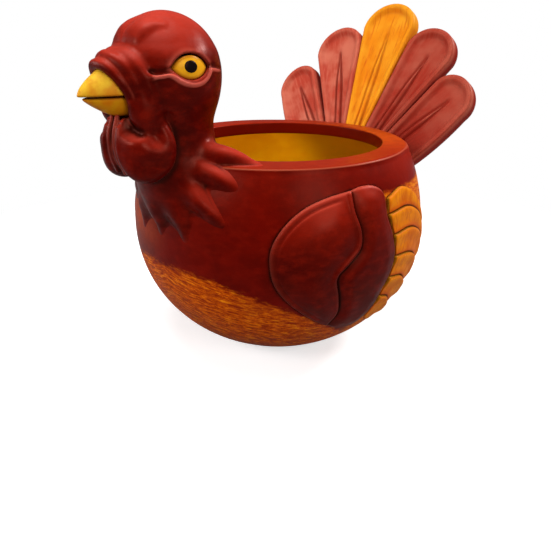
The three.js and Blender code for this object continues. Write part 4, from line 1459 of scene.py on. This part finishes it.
def moved_to(graph, geometry, places, scale):
    """A geometry with its points moved to places in millimetres."""
    values = {"Geometry": geometry, "Position": graph.scaled(places, scale)}
    return graph.add("GeometryNodeSetPosition", values)


# Height over which the slope of the body's side is read
SIDE_SPAN = 0.2


def laid_on_body_tree(material):
    """Lays a flat relief on the body: its x goes round from the breast, its y up, and its z out."""
    names = ("Radius", "Widest Height", "Lower Axis", "Upper Axis", "Fullness", "Side", "Scale")
    graph, given = new_tree("laid on body " + material.name, dict.fromkeys(names, "NodeSocketFloat"))
    place = graph.add("GeometryNodeInputPosition")
    along, height, lift = graph.separate(place)

    def radius_at(level):
        rise = level - given["Widest Height"]
        below = graph.maths("LESS_THAN", rise, 0.0)
        axis = given["Lower Axis"] * below + given["Upper Axis"] * (1 - below)
        share = graph.maths("MAXIMUM", 1 - (rise / axis) ** 2, 0.0)
        return given["Radius"] * share ** (1 / given["Fullness"])

    half = SIDE_SPAN / 2
    slope = (radius_at(height + half) - radius_at(height - half)) / SIDE_SPAN
    stretch = lift / graph.maths("SQRT", 1 + slope * slope)
    radius = radius_at(height) + stretch
    azimuth = along / given["Radius"]
    x = given["Side"] * radius * graph.maths("SINE", azimuth)
    y = 0 - radius * graph.maths("COSINE", azimuth)
    z = height - slope * stretch
    moved = moved_to(graph, given["Geometry"], graph.combine(x, y, z), given["Scale"])
    over = graph.maths("LESS_THAN", given["Side"], 0.0)
    faced = graph.add("GeometryNodeFlipFaces", {"Mesh": moved, "Selection": over})
    return close_tree(graph, faced, material)


def fanned_tree(material):
    """Turns a flat feather about the fan's root, and leans it back."""
    inputs = dict.fromkeys(("Turn", "Lean", "Root", "Scale"), "NodeSocketFloat")
    inputs["Root"] = "NodeSocketVector"
    graph, given = new_tree("fanned " + material.name, inputs)
    place = graph.add("GeometryNodeInputPosition")
    turned = graph.turned(place, "Y_AXIS", given["Turn"])
    leaned = graph.turned(turned, "X_AXIS", 0 - given["Lean"])
    placed = graph.vector_maths("ADD", leaned, given["Root"])
    moved = moved_to(graph, given["Geometry"], placed, given["Scale"])
    return close_tree(graph, moved, material)


# Points closer than this are made one, where the bowl's turned profile closes
WELD_REACH = 0.004 * MM
# The rim's outer edge grows softer towards the rear, by the cosine of the angle from the front
SOFT_FROM = -0.35
SOFT_TO = -0.8
# The side waves a little, less so near the axis
WAVE_NOISE = (0.06, 1.0)
WAVE_HOLD = 10


def turned_bowl_tree(material, rows):
    """Turns a half profile, held as points of radius, set-back and height, about the upright axis."""
    inputs = {"Around": "NodeSocketInt", "Waviness": "NodeSocketFloat", "Scale": "NodeSocketFloat"}
    graph, given = new_tree("turned bowl", inputs)
    sheet = {"Size X": 1.0, "Size Y": 1.0, "Vertices X": given["Around"], "Vertices Y": rows}
    grid = graph.add("GeometryNodeMeshGrid", sheet)
    place = graph.add("GeometryNodeInputPosition")
    share_around, share_along, _ = graph.separate(place)
    row = graph.maths("ROUND", (share_along + 0.5) * (rows - 1))

    def from_profile(kind, value):
        values = {"Geometry": given["Geometry"], "Index": row, "Value": value}
        return graph.add("GeometryNodeSampleIndex", values, data_type=kind, domain="POINT")

    position = graph.add("GeometryNodeInputPosition")
    soft = graph.add("GeometryNodeInputNamedAttribute", {"Name": "softer"}, data_type="FLOAT_VECTOR")
    zone = graph.add("GeometryNodeInputNamedAttribute", {"Name": "zone"}, data_type="FLOAT")
    profile = from_profile("FLOAT_VECTOR", position)
    softer = from_profile("FLOAT_VECTOR", soft)
    angle = (share_around + 0.5) * (2 * math.pi)
    sine, cosine = graph.maths("SINE", angle), graph.maths("COSINE", angle)
    rear = graph.ramp(cosine, SOFT_FROM, SOFT_TO)
    bent = graph.scaled(graph.vector_maths("SUBTRACT", softer, profile), rear)
    radius, set_back, height = graph.separate(graph.vector_maths("ADD", profile, bent))
    ring = graph.combine(radius * sine, set_back - radius * cosine, height)
    wave = graph.noise(ring, *WAVE_NOISE) - 0.5
    swell = 1 + wave * given["Waviness"] / (radius + WAVE_HOLD)
    wavy = graph.combine(radius * swell * sine, set_back - radius * swell * cosine, height)
    values = {"Geometry": grid, "Name": "zone", "Value": from_profile("FLOAT", zone)}
    stored = graph.add("GeometryNodeStoreNamedAttribute", values, data_type="FLOAT", domain="POINT")
    moved = moved_to(graph, stored, wavy, given["Scale"])
    closed = graph.add("GeometryNodeMergeByDistance", {"Geometry": moved, "Distance": WELD_REACH})
    return close_tree(graph, closed, material)


# The pieces

def add_piece(mesh, name, slot, nodes, material=None):
    """Puts a finished mesh in the scene as a piece that stands for its solids."""
    mesh.name = name
    if material:
        mesh.materials.clear()
        mesh.materials.append(material)
    piece = in_scene(name, mesh)
    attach(piece, "root")
    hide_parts(*nodes)


# The bowl's half profile, finer where it bends sharply

RIM_EDGE_RADIUS = 1.1
REAR_EDGE_RADIUS = 4.2
INNER_EDGE_RADIUS = 0.8
# Places along the profile's parts, and how far the inside wall stops above its flat floor
RIM_TURNS = 7
FOOT_PLACES = 12
SIDE_ROWS = 90
TOP_PLACES = 9
LIP_PLACES = 7
INSIDE_ROWS = 76
FLOOR_RISE = 0.4
FLOOR_SHARES = (0.66, 0.33, 0)
# The parts that the bowl's paints tell apart, with the values that run between two of them
OUTSIDE, ON_RIM, ON_LIP, INSIDE = range(4)
RIM_EDGE_ZONE = 0.2
LIP_EDGE_ZONE = 1.9


def egg_rows(widest, lower_axis, upper_axis, low, high, count):
    """Points of radius and height on an egg's side from one height to another."""
    ends = []
    for height in (low, high):
        axis = lower_axis if height < WIDEST_HEIGHT else upper_axis
        ends.append(math.asin((height - WIDEST_HEIGHT) / axis))
    angles = np.linspace(*ends, count)
    axis = np.where(angles < 0, lower_axis, upper_axis)
    radii = widest * np.cos(angles) ** (2 / FULLNESS)
    return np.stack([radii, WIDEST_HEIGHT + axis * np.sin(angles)], 1)


def rounded_rows(wall_radius, top, edge_radius, away):
    """Points over the rounded edge between an upright wall and a flat top."""
    angles = np.linspace(0, math.pi / 2, RIM_TURNS)
    radii = wall_radius + away * edge_radius * (1 - np.cos(angles))
    return np.stack([radii, top - edge_radius * (1 - np.sin(angles))], 1)


def bowl_profile(edge_radius):
    """Rows of radius, set-back, height and zone, from the middle of the foot to the middle of the floor."""
    shoulder = RIM_HEIGHT - edge_radius
    foot_radius = body_radius(0.0)
    foot = [(foot_radius * share, 0, 0, OUTSIDE) for share in np.linspace(0, 1, FOOT_PLACES)[:-1]]
    rows = egg_rows(BELLY_RADIUS, LOWER_AXIS, UPPER_AXIS, 0, shoulder, SIDE_ROWS)
    side = [(r, 0, h, OUTSIDE) for r, h in rows]
    edge = rounded_rows(side[-1][0], RIM_HEIGHT, edge_radius, -1)[1:]
    zones = np.linspace(RIM_EDGE_ZONE, ON_RIM, len(edge))
    outer = [(r, 0, h, zone) for (r, h), zone in zip(edge, zones)]
    inner_radius = MOUTH_RADIUS + INNER_EDGE_RADIUS
    top = [
        (outer[-1][0] + (inner_radius - outer[-1][0]) * share, MOUTH_SET_BACK * share, RIM_HEIGHT, ON_RIM)
        for share in np.linspace(0, 1, TOP_PLACES)[1:-1]
    ]
    turn = rounded_rows(MOUTH_RADIUS, RIM_HEIGHT, INNER_EDGE_RADIUS, 1)[::-1]
    zones = np.linspace(ON_RIM, LIP_EDGE_ZONE, len(turn))
    inner = [(r, MOUTH_SET_BACK, h, zone) for (r, h), zone in zip(turn, zones)]
    lip_heights = np.linspace(turn[-1][1], LIP_HEIGHT, LIP_PLACES)[1:]
    lip = [(MOUTH_RADIUS, MOUTH_SET_BACK, h, ON_LIP) for h in lip_heights]
    low = FLOOR + FLOOR_RISE
    inside = egg_rows(CAVITY_RADIUS, CAVITY_LOWER_AXIS, CAVITY_UPPER_AXIS, LIP_HEIGHT, low, INSIDE_ROWS)
    hollow = [(r, MOUTH_SET_BACK, h, INSIDE) for r, h in inside[1:]]
    floor = [
        (hollow[-1][0] * share, MOUTH_SET_BACK, FLOOR + FLOOR_RISE * share, INSIDE)
        for share in FLOOR_SHARES
    ]
    return np.array(foot + side + outer + top + inner + lip + hollow + floor)


def profile_mesh():
    sharp = bowl_profile(RIM_EDGE_RADIUS)
    soft = bowl_profile(REAR_EDGE_RADIUS)
    mesh = bpy.data.meshes.new("bowl_profile")
    edges = [(i, i + 1) for i in range(len(sharp) - 1)]
    mesh.from_pydata(sharp[:, :3].tolist(), edges, [])
    softer = mesh.attributes.new("softer", "FLOAT_VECTOR", "POINT")
    softer.data.foreach_set("vector", soft[:, :3].astype(np.float32).ravel())
    write_values(mesh, {"zone": sharp[:, 3]})
    return mesh, len(sharp)


def unrolled(points):
    """Part places as distance round the body, height along it and lift off it."""
    azimuth = np.arctan2(np.abs(points[:, 0]), -points[:, 1])
    return np.stack([azimuth * BELLY_RADIUS, points[:, 2], body_field(points)], 1)


# Where the bust stands, in part places, and where the wings stand, as distance round and height
BUST_CORNER = (-40, -80, 45)
BUST_BACK = -20
WINGS_FROM = (30, 12)
WINGS_TO = (120, 76)
WINGS_BELOW_RIM = 1.0


def felt_by_bowl(points, outward):
    """How closely the bowl's surface is crowded by what stands on it."""
    crowded = np.zeros(len(points))
    for reach in FEEL_REACHES[:2]:
        out = points + outward * reach
        near_front = np.all(out > BUST_CORNER, axis=1) & (out[:, 1] < BUST_BACK)
        gap = np.full(len(points), reach)
        gap[near_front] = bust_field(out[near_front])
        flat = unrolled(out)
        beside = np.all((flat[:, :2] > WINGS_FROM) & (flat[:, :2] < WINGS_TO), axis=1)
        beside &= points[:, 2] < RIM_HEIGHT - WINGS_BELOW_RIM
        placed = flat[beside]
        nearest = np.minimum(front_lobe_field(placed), rear_lobe_field(placed))
        for field in FLIGHT_FIELDS:
            nearest = np.minimum(nearest, field(placed))
        gap[beside] = np.minimum(gap[beside], nearest)
        crowded += np.clip(1 - gap / reach, 0, 1) / 2
    return crowded


BOWL_AROUND = 321
BOWL_WAVINESS = 0.5


def make_bowl():
    source, rows = profile_mesh()
    tree = turned_bowl_tree(bowl_material(), rows)
    values = {"Around": BOWL_AROUND, "Waviness": BOWL_WAVINESS, "Scale": MM}
    mesh = grown(tree, source, values)
    mesh.shade_smooth()
    points = read_vertices(mesh, "co") / MM
    normals = read_vertices(mesh, "normal")
    outside = (normals * points).sum(1) > 0
    # How crowded the outside is by the bust and wings, which the paint shows as painted shade
    crowded = np.where(outside, felt_by_bowl(points, normals), 0)
    write_values(mesh, {"hollow": crowded, "ridge": np.zeros(len(points))})
    add_piece(mesh, "painted_bowl", "bowl_paint", ["bowl_body"])


def make_head():
    def lid(points):
        # Nearness to the lower lid's ridge, where a painted highlight goes
        return {"lid": np.clip(1 - chain(mirrored(points), LID_LINE) / LID_LINE_WIDTH, 0, 1)}

    mesh = sculpt(skin_field, *BUST_BOX, BUST_STEP, skin_with_body, lid)
    sides = [f"_{side}" for side in ("left", "right")]
    nodes = ["head_and_neck", "snood", "ruff_lappet_front"]
    nodes += [kind + side for kind in ("cheek_lobe", "wattle") for side in sides]
    nodes += [f"ruff_lappet{side}_{i + 1}" for side in sides for i in range(len(LAPPETS))]
    add_piece(to_metres(mesh), "turkey_bust", "red_paint", nodes, red_material())


def flipped(mesh):
    """The mirror of a mesh across the bird's middle, with its faces outwards."""
    other = mesh.copy()
    other.transform(Matrix.Scale(-1, 4, (1, 0, 0)))
    other.flip_normals()
    return other


def make_eyes():
    def rim(points):
        back, up, _ = eye_plane(points)
        return {"rim": almond(back, up)}

    middle = HEAD + EYE_OUT * HEAD_RADIUS
    low, high = middle - EYE_REACH, middle + EYE_REACH
    iris = to_metres(sculpt(eye_field, low, high, EYE_STEP, None, rim))
    pupil = to_metres(sculpt(pupil_field, low, high, PUPIL_STEP))
    iris_paint, pupil_paint = eye_material(), pupil_material()
    for side, turn in (("left", lambda mesh: mesh), ("right", flipped)):
        add_piece(turn(iris), f"eye_iris_{side}", "amber_paint", [f"eye_{side}"], iris_paint)
        add_piece(turn(pupil), f"eye_pupil_{side}", "black_paint", [f"pupil_{side}"], pupil_paint)


def make_beak():
    paint = beak_material()
    for label, sections, upward in (("upper", UPPER_BEAK, 1), ("lower", LOWER_BEAK, -1)):
        def field(points, sections=sections, upward=upward):
            return beak_field(points, sections, upward)

        mesh = to_metres(sculpt(field, *BEAK_BOX, BEAK_STEP))
        add_piece(mesh, f"beak_{label}_half", "amber_paint", [f"beak_{label}"], paint)


def outline_box(outline, top):
    low = np.append(outline.min(0) - BOX_MARGIN, -LAID_DEPTH - BOX_BELOW)
    high = np.append(outline.max(0) + BOX_MARGIN, top + BOX_MARGIN)
    return low, high


def make_wings():
    body = {"Radius": BELLY_RADIUS, "Widest Height": WIDEST_HEIGHT, "Lower Axis": LOWER_AXIS}
    body.update({"Upper Axis": UPPER_AXIS, "Fullness": FULLNESS, "Scale": MM})
    wing_tree = laid_on_body_tree(wing_material())
    feather_tree = laid_on_body_tree(feather_material())

    def whole_wing(points):
        return np.minimum(np.minimum(front_lobe_field(points), rear_lobe_field(points)), points[:, 2])

    def whole_side(points):
        rest = [points[:, 2], rear_lobe_field(points)]
        return np.minimum.reduce([field(points) for field in FLIGHT_FIELDS] + rest)

    reliefs = []
    lobes = ("front", front_lobe_field, FRONT_OUTLINE), ("rear", rear_lobe_field, REAR_OUTLINE)
    for label, field, outline in lobes:
        flat = sculpt(field, *outline_box(outline, WING_TOP), WING_STEP, whole_wing)
        reliefs.append((f"wing_{label}", "_{side}", flat, wing_tree, "wing_paint"))
    for index, field in enumerate(FLIGHT_FIELDS):
        box = outline_box(np.vstack(FLIGHT_LINES[index:index + 2]), FEATHER_HIGH)
        flat = sculpt(field, *box, FEATHER_STEP, whole_side)
        reliefs.append(("flight_feather", f"_{{side}}_{index + 1}", flat, feather_tree, "amber_paint"))
    for kind, ending, flat, tree, slot in reliefs:
        for side, sign in (("left", 1.0), ("right", -1.0)):
            node = kind + ending.format(side=side)
            add_piece(grown(tree, flat, {**body, "Side": sign}), "painted_" + node, slot, [node])


def make_tail():
    red_tree = fanned_tree(red_tail_material())
    yellow_tree = fanned_tree(yellow_tail_material())
    for node, (angle, share) in TAIL_FEATHERS.items():
        length = FAN_LENGTH * share
        half = FAN_SPREAD * length
        low = (-half, -BOX_BELOW, FAN_START - TAIL_BOX_SPARE)
        high = (half + TAIL_BOX_SPARE, FAN_THICKNESS + BOX_MARGIN, length + BOX_MARGIN)

        def brushed(points, length=length):
            groove, _, fold = petal_lines(points, length)
            # Where painted shade goes: the quill's grooves, and the folds more faintly
            lines = np.maximum(groove, FOLD_DARKNESS * fold)
            return {"along": points[:, 2], "across": points[:, 0], "depth": points[:, 1], "lines": lines}

        flat = sculpt(petal_field(abs(angle), length), low, high, TAIL_STEP, None, brushed)
        if angle < 0:
            flat = flipped(flat)
        values = {"Turn": math.radians(angle), "Lean": math.radians(FAN_LEAN), "Scale": MM}
        values["Root"] = FAN_ROOT.tolist()
        tree, slot = (yellow_tree, "amber_paint") if node in YELLOW_FEATHERS else (red_tree, "tail_paint")
        add_piece(grown(tree, flat, values), "painted_" + node, slot, [node])


make_bowl()
make_head()
make_eyes()
make_beak()
make_wings()
make_tail()


# The floor shows plain white to the camera, darker only where the bird shades it

FLOOR_SIZE = 3.0
FLOOR_LEVEL = 0.82
FLOOR_LIGHT_LEVEL = 0.86
FLOOR_NOISE = (40.0, 2.0)
# What the bird receives back from the floor
BOUNCE_LEVEL = 0.3
# To the camera the floor is lifted to white round the bird's shadow, and plain white further out
FLOOR_LIFT = 0.6
WHITE_FROM = 0.12
WHITE_TO = 0.24


def grey(level):
    return (level, level, level, 1)


def make_floor():
    mesh = bpy.data.meshes.new("floor")
    half = FLOOR_SIZE / 2
    corners = [(-half, -half, 0), (half, -half, 0), (half, half, 0), (-half, half, 0)]
    mesh.from_pydata(corners, [], [(0, 1, 2, 3)])
    floor = in_scene("floor", mesh)
    paint = Paint("plain_floor", 1.0)
    place = paint.place
    tone = paint.mix(paint.noise(place, *FLOOR_NOISE), grey(FLOOR_LEVEL), grey(FLOOR_LIGHT_LEVEL))
    plain = paint.add("ShaderNodeBsdfDiffuse", {"Color": tone})
    dim = paint.add("ShaderNodeBsdfDiffuse", {"Color": grey(BOUNCE_LEVEL)})
    white = paint.add("ShaderNodeEmission", {"Color": grey(1), "Strength": 1.0})
    lifted = paint.add("ShaderNodeEmission", {"Color": grey(1), "Strength": FLOOR_LIFT})
    near = paint.add("ShaderNodeAddShader", {0: plain, 1: lifted})
    away = paint.ramp(paint.vector_maths("LENGTH", place, output="Value"), WHITE_FROM, WHITE_TO)
    shown = paint.add("ShaderNodeMixShader", {0: away, 1: near, 2: white})
    seen = paint.add("ShaderNodeLightPath", output="Is Camera Ray")
    shader = paint.add("ShaderNodeMixShader", {0: seen, 1: dim, 2: shown})
    paint.add("ShaderNodeOutputMaterial", {"Surface": shader})
    mesh.materials.append(paint.material)


make_floor()


# A lamp overhead, one behind on the right and three weaker fills: place, size and power
LAMPS = {
    "overhead_key": ((-0.04, -0.08, 0.82), 0.5, 3.2),
    "rear_right_key": ((0.31, 0.65, 0.66), 0.28, 5.1),
    "right_fill": ((0.78, -0.2, 0.44), 0.4, 2.6),
    "front_fill": ((-0.1, -0.8, 0.5), 0.3, 2.8),
    "left_fill": ((-0.62, -0.55, 0.3), 0.4, 1.8),
}
BIRD_MIDDLE = Vector((0, 0, 0.06))


def add_lamp(name, place, size, power):
    data = bpy.data.lights.new(name, "AREA")
    data.shape = "DISK"
    data.size = size
    data.energy = power
    lamp = in_scene(name, data)
    lamp.location = place
    lamp.rotation_euler = (BIRD_MIDDLE - Vector(place)).to_track_quat("-Z", "Y").to_euler()


for label, lamp_row in LAMPS.items():
    add_lamp(label, *lamp_row)

# Soft light comes from all round, and the camera sees plain white there
WORLD_LEVEL = 0.09
WORLD_TINT = (1, 0.98, 0.95, 1)
world = bpy.data.worlds.new("studio")
bpy.context.scene.world = world
world.use_nodes = True
world.node_tree.nodes.clear()
sky = Graph(world.node_tree)
seen = sky.add("ShaderNodeLightPath", output="Is Camera Ray")
white = sky.add("ShaderNodeBackground", {"Color": grey(1), "Strength": 1.0})
soft = sky.add("ShaderNodeBackground", {"Color": WORLD_TINT, "Strength": WORLD_LEVEL})
both = sky.add("ShaderNodeMixShader", {0: seen, 1: soft, 2: white})
sky.add("ShaderNodeOutputWorld", {"Surface": both})


# The camera stands where the photograph was taken from

CAMERA_PLACE = (154.21, -154.21, 118.57)
CAMERA_RIGHT = (0.7047, 0.7095, -0.0022)
CAMERA_UP = (-0.2876, 0.2885, 0.9133)
CAMERA_BACKWARD = (0.6486, -0.6429, 0.4074)
LENS = 37.52
SENSOR_WIDTH = 36.0
CLIP_START = 0.01
camera_data = bpy.data.cameras.new("camera")
camera_data.lens = LENS
camera_data.sensor_width = SENSOR_WIDTH
camera_data.clip_start = CLIP_START
camera = in_scene("camera", camera_data)
turned = Matrix((CAMERA_RIGHT, CAMERA_UP, CAMERA_BACKWARD)).transposed().to_4x4()
camera.matrix_world = Matrix.Translation(Vector(CAMERA_PLACE) * MM) @ turned
bpy.context.scene.camera = camera

bpy.context.scene.view_settings.view_transform = "Standard"
